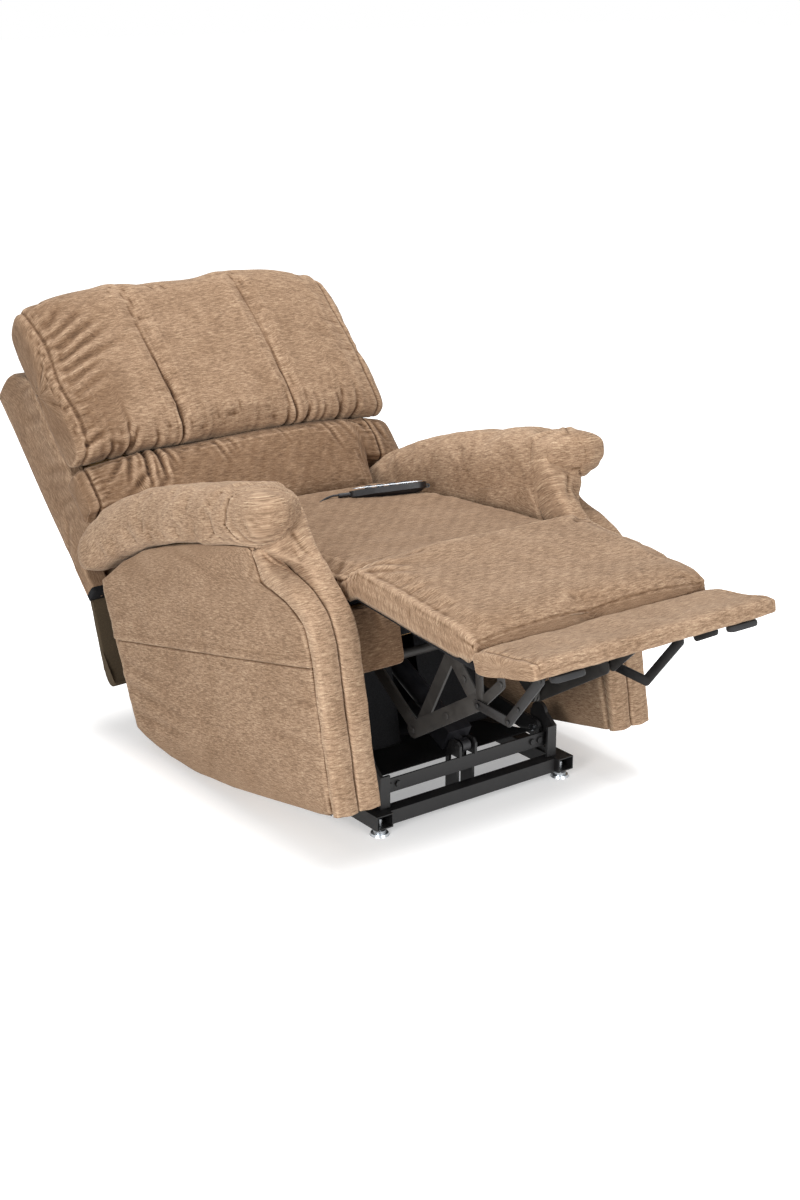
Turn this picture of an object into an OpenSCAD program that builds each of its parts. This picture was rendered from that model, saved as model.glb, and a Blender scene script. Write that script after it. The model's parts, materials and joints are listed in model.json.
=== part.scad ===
// Lift recliner chair, shown reclined: the chair body is tipped back on its floor base, the back is down
// and the footrest is out. +X is the sitter's left, -Y is forward, +Z is up, the origin is on the floor.

/* [Body] */
// Width over the outer arm panels
arm_span = 810; // [790:2:830]
// Width between the arms
seat_gap = 602; // [598:2:606]
// Angle by which the whole chair body is tipped back on its base
body_tilt = 12.4; // [11:0.2:13]
// Front-to-back place of the chair over the origin
shift_y = -66; // [-76:1:-56]
// Thickness of the padded outer arm panel
panel_t = 24; // [18:1:28]
// Slope of the seat below the chair's own level
seat_slope = 8; // [7:0.5:8.5]

/* [Back] */
// Lean of the back from the chair's own vertical
back_lean = 34.2; // [33:0.2:35]
// Width over the side wings of the back shell
shell_w = 816; // [800:2:824]
// Height of the back shell along its slope
shell_h = 554; // [540:2:570]
// Width of the head and lumbar cushions
cushion_w = 850; // [830:2:860]

/* [Footrest] */
// Slope of the footrest below the chair's own level
rest_slope = 17.7; // [17:0.1:18.4]
// Length of the main footrest board
board_len = 366; // [356:1:368]
// Width of the footrest pad
pad_w = 588; // [580:2:590]
// Length of the flip-out extension
ext_len = 185; // [170:1:187]
// Rise of the flip-out extension above the footrest
ext_rise = 18; // [14:1:19]

/* [Base] */
// Width over the floor runners
base_w = 514; // [508:2:516]
// Length of the floor runners
runner_l = 670; // [650:5:690]
// Height of the square-section runners and bars
bar_h = 30; // [26:1:32]
// Wall of the square steel tubes
wall = 2.5; // [2:0.5:4]

/* [Handset] */
// Length of the handset
handset_l = 186; // [180:1:190]
// Diameter of the handset's cord
cord_d = 5; // [4.5:0.1:5.2]

/* [Hidden] */
$fn = 48;

fabric = "#a98c6b";
steel = "#1d1d1f";
plate_grey = "#3a3a3c";
timber = "#c49a62";
black_plastic = "#17171a";
silver = "#c9ccd0";
fit = 0.05;          // radial running clearance of every pin
gap = 0.5;           // clearance between pieces that only touch

runner_w = 40;
runner_x = base_w / 2 - runner_w;
runner_z = 18;
runner_y = -325;
bar_top = runner_z + bar_h;
lift_y = -250;       // lift pivot on the base posts
lift_z = 100;
hinge_y = 163.1;     // lift hinge on the chair rails, in the chair's own frame
hinge_z = 189.4;
pin_r = 8;
motor_y = -272;      // foot of the lift motor, on the base
motor_z = 120;
rod_end_y = 50;      // head of the lift motor's rod, in the chair's own frame
rod_end_z = 330;
recline_y = 106;     // foot of the recline motor and head of its rod, in the chair's own frame
recline_z = 350;
head_y = 380;
head_z = 360;
rail_x = 232;
rail_w = 30;
rail_z = 285;
rail_h = 40;
tube_y = 72;         // tube that carries both motors, in the chair's own frame
tube_z = 303;
rear_tube_y = 345;   // tube between the rear ends of the rails
rear_tube_z = 300;
seat_y = -57;        // middle of the seat cushion's underside, in the chair's own frame
seat_z = 452;
seat_back = 322;     // how far it runs behind and in front of there
seat_front = 306;
arm_in = seat_gap / 2;
arm_out = arm_span / 2;
inner_t = 17;
back_y = 487;        // foot of the back's rear face, in the chair's own frame
back_z = 402;
pivot_u = 24;        // back pivot, up the back and forward of its rear face
pivot_n = 121.5;
rest_y = -385;       // footrest hinge, in the chair's own frame
rest_z = 440;
brace_y = -235;      // brace shaft, in the chair's own frame
brace_z = 262;
brace_s = 150;       // upper brace pivot, out along the footrest and below its board
brace_n = -85;
ext_s = board_len + 6;
ext_n = -18;
board_t = 14;

// ---- frames and helpers ----

// Points given in the chair's own level frame, tipped back with the chair body
module on_chair() translate([0, shift_y, 0]) rotate([-body_tilt, 0, 0]) children();
module on_base() translate([0, shift_y, 0]) children();
// Local +Y runs rearwards along the seat's underside and +Z stands off it
module on_seat() on_chair() translate([0, seat_y, seat_z]) rotate([seat_slope, 0, 0]) children();
// Local -Y runs forward off the back and +Z up its slope
module on_back() on_chair() translate([0, back_y, back_z]) rotate([-back_lean, 0, 0]) children();
// Local -Y runs out along the footrest and +Z stands off its board
module on_footrest() on_chair() translate([0, rest_y, rest_z]) rotate([rest_slope, 0, 0]) children();
module on_extension() on_footrest() translate([0, -ext_s, ext_n]) rotate([-ext_rise, 0, 0]) children();
module each_side() for (s = [0, 1]) mirror([s, 0, 0]) children();
module left_side() children();
module right_side() mirror([1, 0, 0]) children();
// A side-view outline (y, z) made into a plate from x to x + t
module plate(x, t) translate([x, 0, 0]) rotate([90, 0, 90]) linear_extrude(t) children();
module box(lo, hi) translate(lo) cube(hi - lo);
// Square steel tubes along X and along Y, open at their ends
module bar_x(lo, hi) difference() {
  box(lo, hi);
  box(lo + [-1, wall, wall], hi + [1, -wall, -wall]);
}
module bar_y(lo, hi) difference() {
  box(lo, hi);
  box(lo + [wall, -1, wall], hi + [-wall, 1, -wall]);
}
// A rectangle with round corners
module rounded(lo, hi, r) {
  translate(lo + [r, 0]) square(hi - lo - [2 * r, 0]);
  translate(lo + [0, r]) square(hi - lo - [0, 2 * r]);
  for (x = [lo[0] + r, hi[0] - r], y = [lo[1] + r, hi[1] - r]) translate([x, y]) circle(r = r);
}
module rod_x(x0, x1, y, z, r) translate([x0, y, z]) rotate([0, 90, 0]) cylinder(r = r, h = x1 - x0);
// A flat link between two points of the side view, with round ends a little wider than its shank
module link(a, b, w) {
  d = b - a;
  translate(a) circle(r = w);
  translate(b) circle(r = w);
  translate(a) rotate(atan2(d[1], d[0])) translate([0, 1 - w]) square([norm(d), 2 * (w - 1)]);
}
function turn(a, v) = [cos(a) * v[0] - sin(a) * v[1], sin(a) * v[0] + cos(a) * v[1]];
function on_board(s, n) = [rest_y, rest_z] + turn(rest_slope, [-s, n]);
function on_seat_line(y, z) = turn(-seat_slope, [y - seat_y, z - seat_z]);
// Signed power, for rounded-rectangle rings
function spow(v, e) = sign(v) * pow(abs(v), e);
// One ring of a cushion: [x, centre y, half y, centre z, half z, roundness]
function ring(s, m) = [for (k = [0 : m - 1]) let (a = 360 * k / m)
  [s[0], s[1] + s[2] * spow(cos(a), s[5]), s[3] + s[4] * spow(sin(a), s[5])]];
// A closed cushion skinned over its rings, with a fan of triangles on each end
module skin(rings) {
  m = len(rings[0]);
  n = len(rings);
  first = [for (i = [0 : 2]) [for (p = rings[0]) p[i]]];
  last = [for (i = [0 : 2]) [for (p = rings[n - 1]) p[i]]];
  mid = [for (v = [first, last]) [for (i = [0 : 2]) (min(v[i]) + max(v[i])) / 2]];
  points = concat([for (r = rings) each r], mid);
  sides = [for (j = [0 : n - 2], k = [0 : m - 1]) let (a = j * m + k, b = j * m + (k + 1) % m)
    each [[a, a + m, b], [b, a + m, b + m]]];
  ends = [for (k = [0 : m - 1]) let (b = (k + 1) % m)
    each [[n * m, k, b], [n * m + 1, (n - 1) * m + b, (n - 1) * m + k]]];
  polyhedron(points = points, faces = concat(sides, ends));
}
// How far a cushion's section has drawn in at x, from 1 at the middle to 0 at its end
function drawn(x, half, p) = pow(max(0, 1 - pow(abs(x) / half, p)), 1 / p);
// Dip of a sewn channel at x
function dip(x, at, w) = exp(-pow((abs(x) - at) / w, 2));
function stations(half, n) = [for (i = [0 : n]) half * sin(90 * (2 * i / n - 1))];

// ---- floor base ----

module base_runner() color(steel) on_base() difference() {
  bar_y([runner_x, runner_y, runner_z], [base_w / 2, runner_y + runner_l, bar_top]);
  for (y = [runner_y + 19, runner_y + runner_l - 19])
    translate([runner_x + runner_w / 2, y, runner_z - 1]) cylinder(r = 5.05, h = 20);
}
module base_runner_left() left_side() base_runner();
module base_runner_right() right_side() base_runner();

module base_front_bar() color(steel) on_base()
  bar_x([-runner_x, -312, runner_z - 2], [runner_x, -282, bar_top - 2]);

module base_rear_bar() color(steel) on_base()
  bar_x([-runner_x, 300, runner_z], [runner_x, 330, bar_top]);

post_x = 222;
module base_cross_angle() color(steel) on_base() difference() {
  union() {
    box([-post_x, -284, 70], [post_x, -280, 100]);
    box([-post_x, -280, 70], [post_x, -256, 74]);
  }
  for (x = [-196, -176, 176, 196]) translate([x, -285, 86]) rotate([-90, 0, 0]) cylinder(r = 4.2, h = 6);
}

module post() difference() {
  union() {
    plate(post_x, 8) union() {
      polygon([[-300, bar_top], [-224, bar_top], [-224, 132], [-272, 136], [-300, 116]]);
      translate([lift_y, lift_z + 32]) circle(r = 22);
    }
    box([206, -300, bar_top], [post_x, -294, 116]);
  }
  rod_x(post_x - 1, post_x + 9, lift_y, lift_z, pin_r);
  for (y = [-292, -272]) rod_x(post_x - 1, post_x + 9, y, 62, 4.2);
}
module base_posts() color(steel) on_base() each_side() post();

module base_bolts() color(steel) on_base() each_side() for (x = [176, 196])
  translate([x, -288.5, 86]) rotate([-90, 0, 0]) {
    cylinder(r = 7, h = 4.5, $fn = 6);
    cylinder(r = 4.2, h = 16);
  }

module levelling_feet() on_base() each_side()
  for (y = [runner_y + 19, runner_y + runner_l - 19])
    translate([runner_x + runner_w / 2, y, 0]) color(silver) {
    cylinder(r1 = 20, r2 = 18, h = 5);
    cylinder(r = 13, h = 11);
    cylinder(r = 5, h = 34);
  }

module lift_pivot_pins() color(silver) on_base() each_side() {
  rod_x(203, post_x + 12, lift_y, lift_z, pin_r);
  rod_x(post_x + 8 + gap, post_x + 13, lift_y, lift_z, 13);
}

module lift_motor_bracket() color(steel) on_base() difference() {
  union() {
    for (x = [-23, 17]) plate(x, 6) polygon([[-282, 20], [-244, 20], [-244, 98], [-254, motor_z + 8],
      [-262, motor_z + 14], [-282, motor_z + 14], [-290, motor_z + 6], [-290, 101], [-282, 101]]);
    rod_x(-24, 24, motor_y, motor_z, 6);
  }
  box([-24, -286, 69.5], [24, -255.5, 100.5]);
}

// ---- lift arms ----

arm_a = [lift_y, lift_z];
arm_b = turn(-body_tilt, [hinge_y, hinge_z]);
lift_dir = atan2(arm_b[1] - lift_z, arm_b[0] - lift_y);
module lift_arm() color(steel) on_base() difference() {
  plate(207, 8) link(arm_a, arm_b, 20);
  for (p = [arm_a, arm_b]) rod_x(206, 216, p[0], p[1], pin_r + fit);
}
module lift_arm_left() left_side() lift_arm();
module lift_arm_right() right_side() lift_arm();
tube_at = arm_a + turn(lift_dir, [300, -4]);
module lift_arm_tube() color(steel) on_base() rod_x(-207, 207, tube_at[0], tube_at[1], 12);

// ---- chair underframe ----

// Tube under the rear ends of the springs, between posts on the rails
spring_tube = [seat_y, seat_z] + turn(seat_slope, [296, -19]);
spring_tube_r = 11;
module side_rail() color(steel) on_chair() difference() {
  union() {
    bar_y([rail_x, -330, rail_z], [rail_x + rail_w, 372, rail_z + rail_h]);
    box([rail_x, spring_tube[0] - spring_tube_r, rail_z + rail_h],
      [rail_x + rail_w, spring_tube[0] + spring_tube_r, spring_tube[1]]);
    for (y = [-250, 20]) box([rail_x + rail_w, y, rail_z + 5], [arm_in, y + 40, rail_z + 35]);
    plate(rail_x - 8, 8) polygon([[95, rail_z + rail_h], [230, rail_z + rail_h], [hinge_y + 20, hinge_z],
      [hinge_y + 12, hinge_z - 16], [hinge_y - 12, hinge_z - 16], [hinge_y - 20, hinge_z]]);
  }
  rod_x(rail_x - 9, rail_x + 1, hinge_y, hinge_z, pin_r);
}
module side_rail_left() left_side() side_rail();
module side_rail_right() right_side() side_rail();

module cross_tubes() color(steel) on_chair() difference() {
  union() {
    bar_x([-rail_x, -300, 335], [rail_x, -272, 363]);
    each_side() box([rail_x, -300, rail_z + rail_h], [rail_x + rail_w, -272, 363]);
    each_side() plate(164, 6) polygon([[-300, 363], [-272, 363], [brace_y + 15, brace_z + 6],
      [brace_y + 10, brace_z - 13], [brace_y - 10, brace_z - 13], [brace_y - 15, brace_z + 6]]);
    rod_x(-rail_x, rail_x, tube_y, tube_z, 13);
    for (x = [-17, 11]) plate(x, 6) link([tube_y, tube_z], [rod_end_y, rod_end_z], 13);
    for (x = [74, 100]) plate(x, 6) link([tube_y, tube_z], [recline_y, recline_z], 12);
    rod_x(-18, 18, rod_end_y, rod_end_z, 6);
    rod_x(73, 107, recline_y, recline_z, 5);
    rod_x(-rail_x, rail_x, rear_tube_y, rear_tube_z, 13);
    rod_x(-rail_x, rail_x, spring_tube[0], spring_tube[1], spring_tube_r);
  }
  rod_x(-171, 171, brace_y, brace_z, 10 + fit);
}

module chair_pivot_pins() color(silver) on_chair() each_side() {
  rod_x(203, rail_x - gap, hinge_y, hinge_z, pin_r);
  rod_x(203, 206.5, hinge_y, hinge_z, 13);
  translate([0, back_y, back_z]) rotate([-back_lean, 0, 0]) {
    rod_x(275, 295, -pivot_n, pivot_u, 7);
    rod_x(274, 277.5, -pivot_n, pivot_u, 11);
  }
}

module back_pivot_brackets() color(steel) on_chair() each_side() difference() {
  union() {
    box([rail_x + rail_w, 334, rail_z + 4], [295, 368, rail_z + 30]);
    plate(289, 6) polygon([[330, rail_z + 4], [372, rail_z + 4], [418, 478], [412, 500], [396, 507],
      [380, 496], [376, 478]]);
  }
  translate([0, back_y, back_z]) rotate([-back_lean, 0, 0]) rod_x(288, 296, -pivot_n, pivot_u, 7);
}

module seat_front_rail() color(timber) on_chair()
  box([-rail_x - rail_w, -350, rail_z + rail_h], [rail_x + rail_w, -320, 402]);

// Zigzag wire: half rings joined end to end, lying flat
spring_pitch = 32.5;
spring_n = 18;
spring_wire = 3.6;
spring_drop = 8;
module seat_spring() {
  r = 14;
  w = spring_wire;
  for (i = [0 : spring_n - 1]) translate([0, -289 + (i + 0.5) * spring_pitch]) {
    side = (i % 2 == 0) ? 1 : -1;
    intersection() {
      translate([side * (r - 5), 0]) difference() {
        circle(d = spring_pitch + w);
        circle(d = spring_pitch - w);
      }
      translate([side > 0 ? r - 5 : -(r - 5) - spring_pitch, -spring_pitch])
        square([spring_pitch, 2 * spring_pitch]);
    }
    for (e = (i == spring_n - 1) ? [-1, 1] : [-1])
      translate([-(r - 4.5), e * spring_pitch / 2 - w / 2]) square([2 * (r - 4.5), w]);
  }
}
module seat_springs() color(silver) on_seat() for (x = [-180, -90, 0, 90, 180])
  translate([x, 0, -spring_drop]) linear_extrude(spring_wire) seat_spring();

seat_half = seat_gap / 2 - 14;
function seat_top(x) = 38 + 18 * drawn(x, seat_half + 3, 7) + 6 * cos(90 * x / seat_half);
module seat_cushion() color(fabric) on_seat()
  skin([for (x = stations(seat_half, 18)) let (d = drawn(x, seat_half + 3, 7), low = 8 * (1 - d),
    top = seat_top(x))
    ring([x, (seat_back - seat_front) / 2, (seat_back + seat_front) / 2 * (0.96 + 0.04 * d),
      (top + low) / 2, (top - low) / 2, 0.42], 22)]);

// Upholstered panels below the seat's front edge, beside each arm
module seat_cheeks() color(fabric) on_chair() each_side()
  translate([0, -350, 0]) rotate([90, 0, 0]) linear_extrude(16) rounded([165, 272], [arm_in - 2, 402], 14);

// ---- arms ----

// Side outline of an arm up to the underside of its pad
arm_outline = [[-417, 28], [-196, 32], [-26, 37], [116, 49], [222, 69], [328, 104], [356, 121], [396, 312],
  [418, 420], [416, 448], [380, 462], [300, 494], [205, 520], [110, 532], [0, 540], [-262, 540], [-281, 505],
  [-357, 463], [-410, 416], [-421, 354], [-421, 311]];
// Zone in front of an arm's frame, filled by its padded facing
module front_zone(clear) polygon(concat([[-600, -10]],
  [for (p = [[-395, -10], [-395, 350], [-386, 398], [-340, 437], [-258, 474], [-234, 540]]) p + [clear, 0]],
  [[-600, 560]]));
module arm_core() difference() {
  polygon(arm_outline);
  front_zone(gap);
}
timber_w = 44;
module arm_frame() color(timber) on_chair()
  plate(arm_in + inner_t + gap, arm_out - panel_t - arm_in - inner_t - 2 * gap) difference() {
    arm_core();
    offset(delta = -timber_w) arm_core();
  }
module arm_frame_left() left_side() arm_frame();
module arm_frame_right() right_side() arm_frame();

module arm_panel() color(fabric) on_chair() {
  plate(arm_out - panel_t, panel_t) intersection() {
    arm_core();
    translate([-600, 318]) square([1200, 400]);
  }
  plate(arm_out - panel_t, panel_t - 1.5) intersection() {
    arm_core();
    translate([-600, 0]) square([1200, 318]);
  }
}
module arm_panel_left() left_side() arm_panel();
module arm_panel_right() right_side() arm_panel();

module arm_inner() color(fabric) on_chair() plate(arm_in, inner_t) arm_core();
module arm_inner_left() left_side() arm_inner();
module arm_inner_right() right_side() arm_inner();

// Two padded strips side by side, following the arm's front edge
strip_gap = 2;
strip_w = (arm_out - arm_in - strip_gap) / 2;
module arm_facing() color(fabric) on_chair() for (x = [arm_in, arm_in + strip_w + strip_gap])
  plate(x, strip_w) intersection() {
    polygon(arm_outline);
    front_zone(0);
  }
module arm_facing_left() left_side() arm_facing();
module arm_facing_right() right_side() arm_facing();

// Rolled pad along the top of the arm: [y, top, underside] stations, round at the nose and the rear
pad_line = [[-344, 610, 585], [-341, 628, 560], [-332, 640, 548], [-312, 650, 543], [-266, 655, 541.5],
  [-150, 655, 541.5], [0, 651, 541.5], [100, 643, 535], [180, 630, 525], [260, 610, 509], [330, 585, 492],
  [390, 558, 472], [430, 538, 466], [455, 520, 468], [466, 503, 478]];
pad_mid = (arm_in + arm_out) / 2 + 18;
pad_half = (arm_out - arm_in) / 2 + 17;
module arm_pad() color(fabric) on_chair()
  rotate([0, 0, 90]) skin([for (s = pad_line) let (t = (s[1] - s[2]) / 2, d = min(1, pow(t / 50, 0.35)))
    ring([s[0], -pad_mid, pad_half * d, (s[1] + s[2]) / 2, t, 0.62], 20)]);
module arm_pad_left() left_side() arm_pad();
module arm_pad_right() right_side() arm_pad();

// ---- electrics ----

// The handset's plug stands out of the control box's side
plug_y = 230;
plug_z = 268;
box_x = -214;
module control_box() color(black_plastic) on_chair() difference() {
  box([box_x, 130, 250], [-134, 260, 284]);
  rod_x(box_x - 1, box_x + 9, plug_y, plug_z, 6);
}

module power_supply() color(black_plastic) on_chair() difference() {
  box([124, 120, 226], [206, 275, 284.5]);
  box([150, 262, 240], [180, 276, 262]);
}

// Handset: it lies on the seat on its rounded back, rolled so that its face leans to the rear.
// Local +X runs along it, away from its cord, and it is rolled about its cord's own line.
handset_x = 177;
handset_y = 183;
handset_up = seat_top(120) + 20;
handset_turn = -18;
handset_roll = -13;
module on_handset() on_seat() translate([handset_x, handset_y, handset_up])
  rotate([0, 0, handset_turn]) translate([0, 0, -3]) rotate([handset_roll, 0, 0]) translate([0, 0, 3]) children();
handset_t = 22;
face_low = 8;        // underside of the silver face
button_r = 8;
button_bore = button_r + 0.4;
button_pitch = 28;
module button_place(i) translate([button_pitch * (i - 1.5), 0, 0]) children();
module handset_case() color(black_plastic) on_handset() difference() {
  union() {
    hull() {
      translate([-handset_l / 2 + 20, 0, -9]) cylinder(r = 14, h = handset_t - 9, $fn = 32);
      translate([handset_l / 2 - 26, 0, -6]) cylinder(r = 26, h = handset_t - 9, $fn = 32);
      translate([-30, 0, -7]) cylinder(r = 22, h = handset_t - 9, $fn = 32);
      translate([-handset_l / 2 + 24, 0, -13]) cylinder(r = 9, h = 4, $fn = 32);
      translate([handset_l / 2 - 34, 0, -14]) cylinder(r = 20, h = 4, $fn = 32);
      translate([handset_l / 2 - 42, 0, -18]) cylinder(r = 10, h = 4, $fn = 32);
      translate([-30, 0, -18]) cylinder(r = 9, h = 4, $fn = 32);
    }
    box([handset_l / 2 - 12, -4, -8], [handset_l / 2 + 3.5, 4, 2]);
    translate([handset_l / 2 + 3.5, 4, -3]) rotate([90, 0, 0]) cylinder(r = 5, h = 8);
  }
  translate([handset_l / 2 + 3.5, 5, -3]) rotate([90, 0, 0]) cylinder(r = 2.2, h = 10);
  translate([-handset_l / 2, 0, -3]) rotate([0, 90, 0]) cylinder(r = 5 + fit, h = 12);
  for (i = [0 : 3]) button_place(i) translate([0, 0, 1.5]) cylinder(r = button_bore, h = 20);
}
module handset_face() color(silver) on_handset() difference() {
  hull() {
    translate([-handset_l / 2 + 26, 0, face_low]) cylinder(r = 12, h = 2.2, $fn = 32);
    translate([handset_l / 2 - 28, 0, face_low]) cylinder(r = 20, h = 2.2, $fn = 32);
  }
  for (i = [0 : 3]) button_place(i) translate([0, 0, -2]) cylinder(r = button_bore, h = 20);
  box([-100, -30, 7], [100, 30, 8.1]);
}
module button(i) color(plate_grey) on_handset() button_place(i) {
  translate([0, 0, 4]) cylinder(r = button_r, h = 8);
  translate([0, 0, 11.9]) cylinder(r = 6.5, h = 0.8);
}
module button_back_down() button(0);
module button_back_up() button(1);
module button_lift_down() button(2);
module button_lift_up() button(3);

// Strain relief: a taper from the case to the cord, with a spigot in the case
relief_l = 26;
relief_end = -handset_l / 2 + 6 - relief_l;
module cord_relief() color(black_plastic) on_handset() translate([relief_end, 0, -3]) rotate([0, 90, 0]) {
  cylinder(r1 = 3.2, r2 = 5, h = relief_l);
  cylinder(r = 5, h = relief_l + 6);
}

// Route of the handset's cord in the seat's own frame: over the seat, down beside it and under the rail
function relief_line(x) = concat([handset_x, handset_y] + turn(handset_turn, [x, 0]), [handset_up - 3]);
plug_at = on_seat_line(plug_y, plug_z);
cord_route = concat([relief_line(relief_end), relief_line(relief_end - 12)],
  [[40, 222, 76], [16, 212, 72], [-6, 197, 68.6], [-30, 178, 66.2], [-56, 156, 65.2], [-82, 134, 64.7],
  [-110, 113, 64.2], [-138, 94, 63.7], [-166, 78, 63], [-194, 65, 62], [-220, 56, 61], [-243, 51, 60],
  [-262, 48, 58.8], [-277, 46, 57], [-288.5, 45, 53.5], [-293.5, 45, 45], [-294.5, 46, 32],
  [-294.5, 50, 8], [-294, 60, -16], [-292, 76, -39], [-289, 95, -61], [-285, 117, -83],
  [-281, 139, -105], [-277, 161, -128], [-273, 183, -151], [-270, 204, -173], [-267, 223, -194],
  [-262, 240, -211], [-252, 252, -219.5], [-240, 258, -222]],
  [[box_x - 18, plug_at[0], plug_at[1]], [box_x - 8, plug_at[0], plug_at[1]]]);
function unit(v) = v / norm(v);
module cord_tube(route, d, sides) {
  n = len(route);
  dirs = [for (i = [0 : n - 1]) unit(route[min(n - 1, i + 1)] - route[max(0, i - 1)])];
  side_a = [for (v = dirs) unit(cross(v, [0.13, 0.99, 0.05]))];
  points = [for (i = [0 : n - 1], k = [0 : sides - 1]) let (a = 360 * k / sides)
    route[i] + d / 2 * (cos(a) * side_a[i] + sin(a) * cross(dirs[i], side_a[i]))];
  sleeve = [for (i = [0 : n - 2], k = [0 : sides - 1])
    let (a = i * sides + k, b = i * sides + (k + 1) % sides)
      each [[a, a + sides, b], [b, a + sides, b + sides]]];
  far = (n - 1) * sides;
  ends = [for (k = [1 : sides - 2]) each [[0, k, k + 1], [far, far + k + 1, far + k]]];
  polyhedron(points = points, faces = concat(sleeve, ends));
}
// Evenly spaced rings along the route, on a smooth curve through its points
function smooth(p, i, t) =
  let (a = p[max(0, i - 1)], b = p[i], c = p[i + 1], e = p[min(len(p) - 1, i + 2)])
  0.5 * (2 * b + (c - a) * t + (2 * a - 5 * b + 4 * c - e) * t * t + (3 * b - a - 3 * c + e) * t * t * t);
cord_last = len(cord_route) - 1;
module handset_cord() color(black_plastic) on_seat()
  cord_tube([cord_route[0], for (i = [1 : cord_last - 2], t = [0, 0.5]) smooth(cord_route, i, t),
    cord_route[cord_last - 1], cord_route[cord_last]], cord_d, 8);

module cord_plug() color(black_plastic) on_chair() {
  rod_x(box_x - 8, box_x, plug_y, plug_z, 7);
  rod_x(box_x - 8, box_x + 9, plug_y, plug_z, 6 - fit);
}

// ---- back ----

pivot_clear = 78;    // radius that the back keeps clear round its pivot, where the arm pads end
module shell_side() difference() {
  polygon([[0, -10], [0, shell_h], [-60, shell_h + 4], [-103, shell_h - 4], [-150, 505], [-172, 470],
    [-160, 300], [-157, 60], [-140, -10]]);
  translate([-pivot_n, pivot_u]) circle(r = pivot_clear);
  translate([-300, -60]) square([258, 140]);
}
module back_shell() color(fabric) on_back() {
  each_side() plate(shell_w / 2 - 46, 46) shell_side();
  box([-shell_w / 2 + 46, -22, -8], [shell_w / 2 - 46, 0, shell_h - 10]);
  box([-shell_w / 2 + 46, -150, shell_h - 50], [shell_w / 2 - 46, -22, shell_h - 10]);
}

frame_x = shell_w / 2 - 47;
module back_frame() color(timber) on_back() difference() {
  union() {
    each_side() box([frame_x - 40, -132, 108], [frame_x, -22.5, shell_h - 52]);
    box([-frame_x + 40, -132, 108], [frame_x - 40, -120, shell_h - 52]);
    box([-279, -132, 60], [279, -120, 108]);
    each_side() plate(279, 6) polygon([[-60, 200], [-140, 200], [-pivot_n - 16, pivot_u + 4],
      [-pivot_n - 8, pivot_u - 15], [-pivot_n + 10, pivot_u - 15], [-40, 20], [-40, 90]]);
    rod_x(-279, 279, -60, 40, 11);
    for (x = [74, 100]) plate(x, 6) link([-60, 40], recline_head, 12);
    rod_x(73, 107, recline_head[0], recline_head[1], 4.5);
  }
  each_side() rod_x(278, 286, -pivot_n, pivot_u, 7 + fit);
}
// Head of the recline motor's rod in the back's frame
recline_head = turn(back_lean, [head_y - back_y, head_z - back_z]);

// Head cushion: [up the back, forward of it], overhanging the shell's top; two sewn channels
head_half = cushion_w / 2;
module head_cushion() color(fabric) on_back()
  skin([for (x = stations(head_half, 26)) let (d = drawn(x, head_half + 4, 4.5), c = dip(x, 150, 12),
    front = 232 + 58 * d - 7 * c, rear = 178 - 2 * d, top = 576 + 96 * drawn(x, head_half + 4, 3) - 3 * c,
    low = 262 - 42 * d + 4 * c)
    ring([x, -(front + rear) / 2, (front - rear) / 2, (top + low) / 2, (top - low) / 2, 0.52], 24)]);

// Lumbar cushion: full width above the arms, drawn in between them lower down, with two pleats
module lumbar_cushion() color(fabric) on_back()
  skin([for (x = stations(head_half, 26)) let (d = drawn(x, head_half + 4, 5), c = dip(x, 210, 9),
    w = min(1, max(0, (abs(x) - 284) / 22)), low = -2 + 129 * w + 14 * (1 - d), top = 218 - 18 * (1 - d),
    front = 206 + 40 * d - 4 * c - 22 * w, rear = 160)
    ring([x, -(front + rear) / 2, (front - rear) / 2, (top + low) / 2, (top - low) / 2, 0.5], 22)]);

module rear_flap() color(fabric) on_chair() plate(-shell_w / 2 + 2, shell_w - 4)
  polygon([[485, 384], [476, 304], [467, 240], [455, 214], [437, 204], [424, 212], [437, 219], [446, 230],
    [453, 250], [462, 306], [471, 384]]);

// ---- footrest ----

module footrest_board() color(timber) on_footrest() {
  box([-pad_w / 2 + 12, -board_len, -board_t - 1], [pad_w / 2 - 12, -8, -1]);
}
module footrest_brackets() color(plate_grey) on_footrest() each_side() difference() {
  union() {
    plate(150, 6) link([-brace_s + 10, -30], [-brace_s, brace_n], 13);
    plate(150, 6) polygon([[-116, -board_t - 1.1], [-200, -board_t - 1.1], [-196, -26], [-160, -46],
      [-128, -46], [-118, -28]]);
    box([132, -196, -board_t - 4.1], [156, -118, -board_t - 1.1]);
  }
  rod_x(149, 157, -brace_s, brace_n, 6 + fit);
}
pad_half_w = pad_w / 2;
module footrest_pad() color(fabric) on_footrest()
  skin([for (x = stations(pad_half_w, 16)) let (d = drawn(x, pad_half_w + 3, 8),
    top = 24 + 24 * d + 8 * cos(90 * x / pad_half_w))
    ring([x, -187, 182.5 * (0.975 + 0.025 * d), top / 2, top / 2 - 0.5, 0.4], 22)]);

module extension_board() color(timber) on_extension()
  box([-pad_w / 2 + 20, -ext_len + 12, 3], [pad_w / 2 - 20, -18, 13]);

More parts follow.
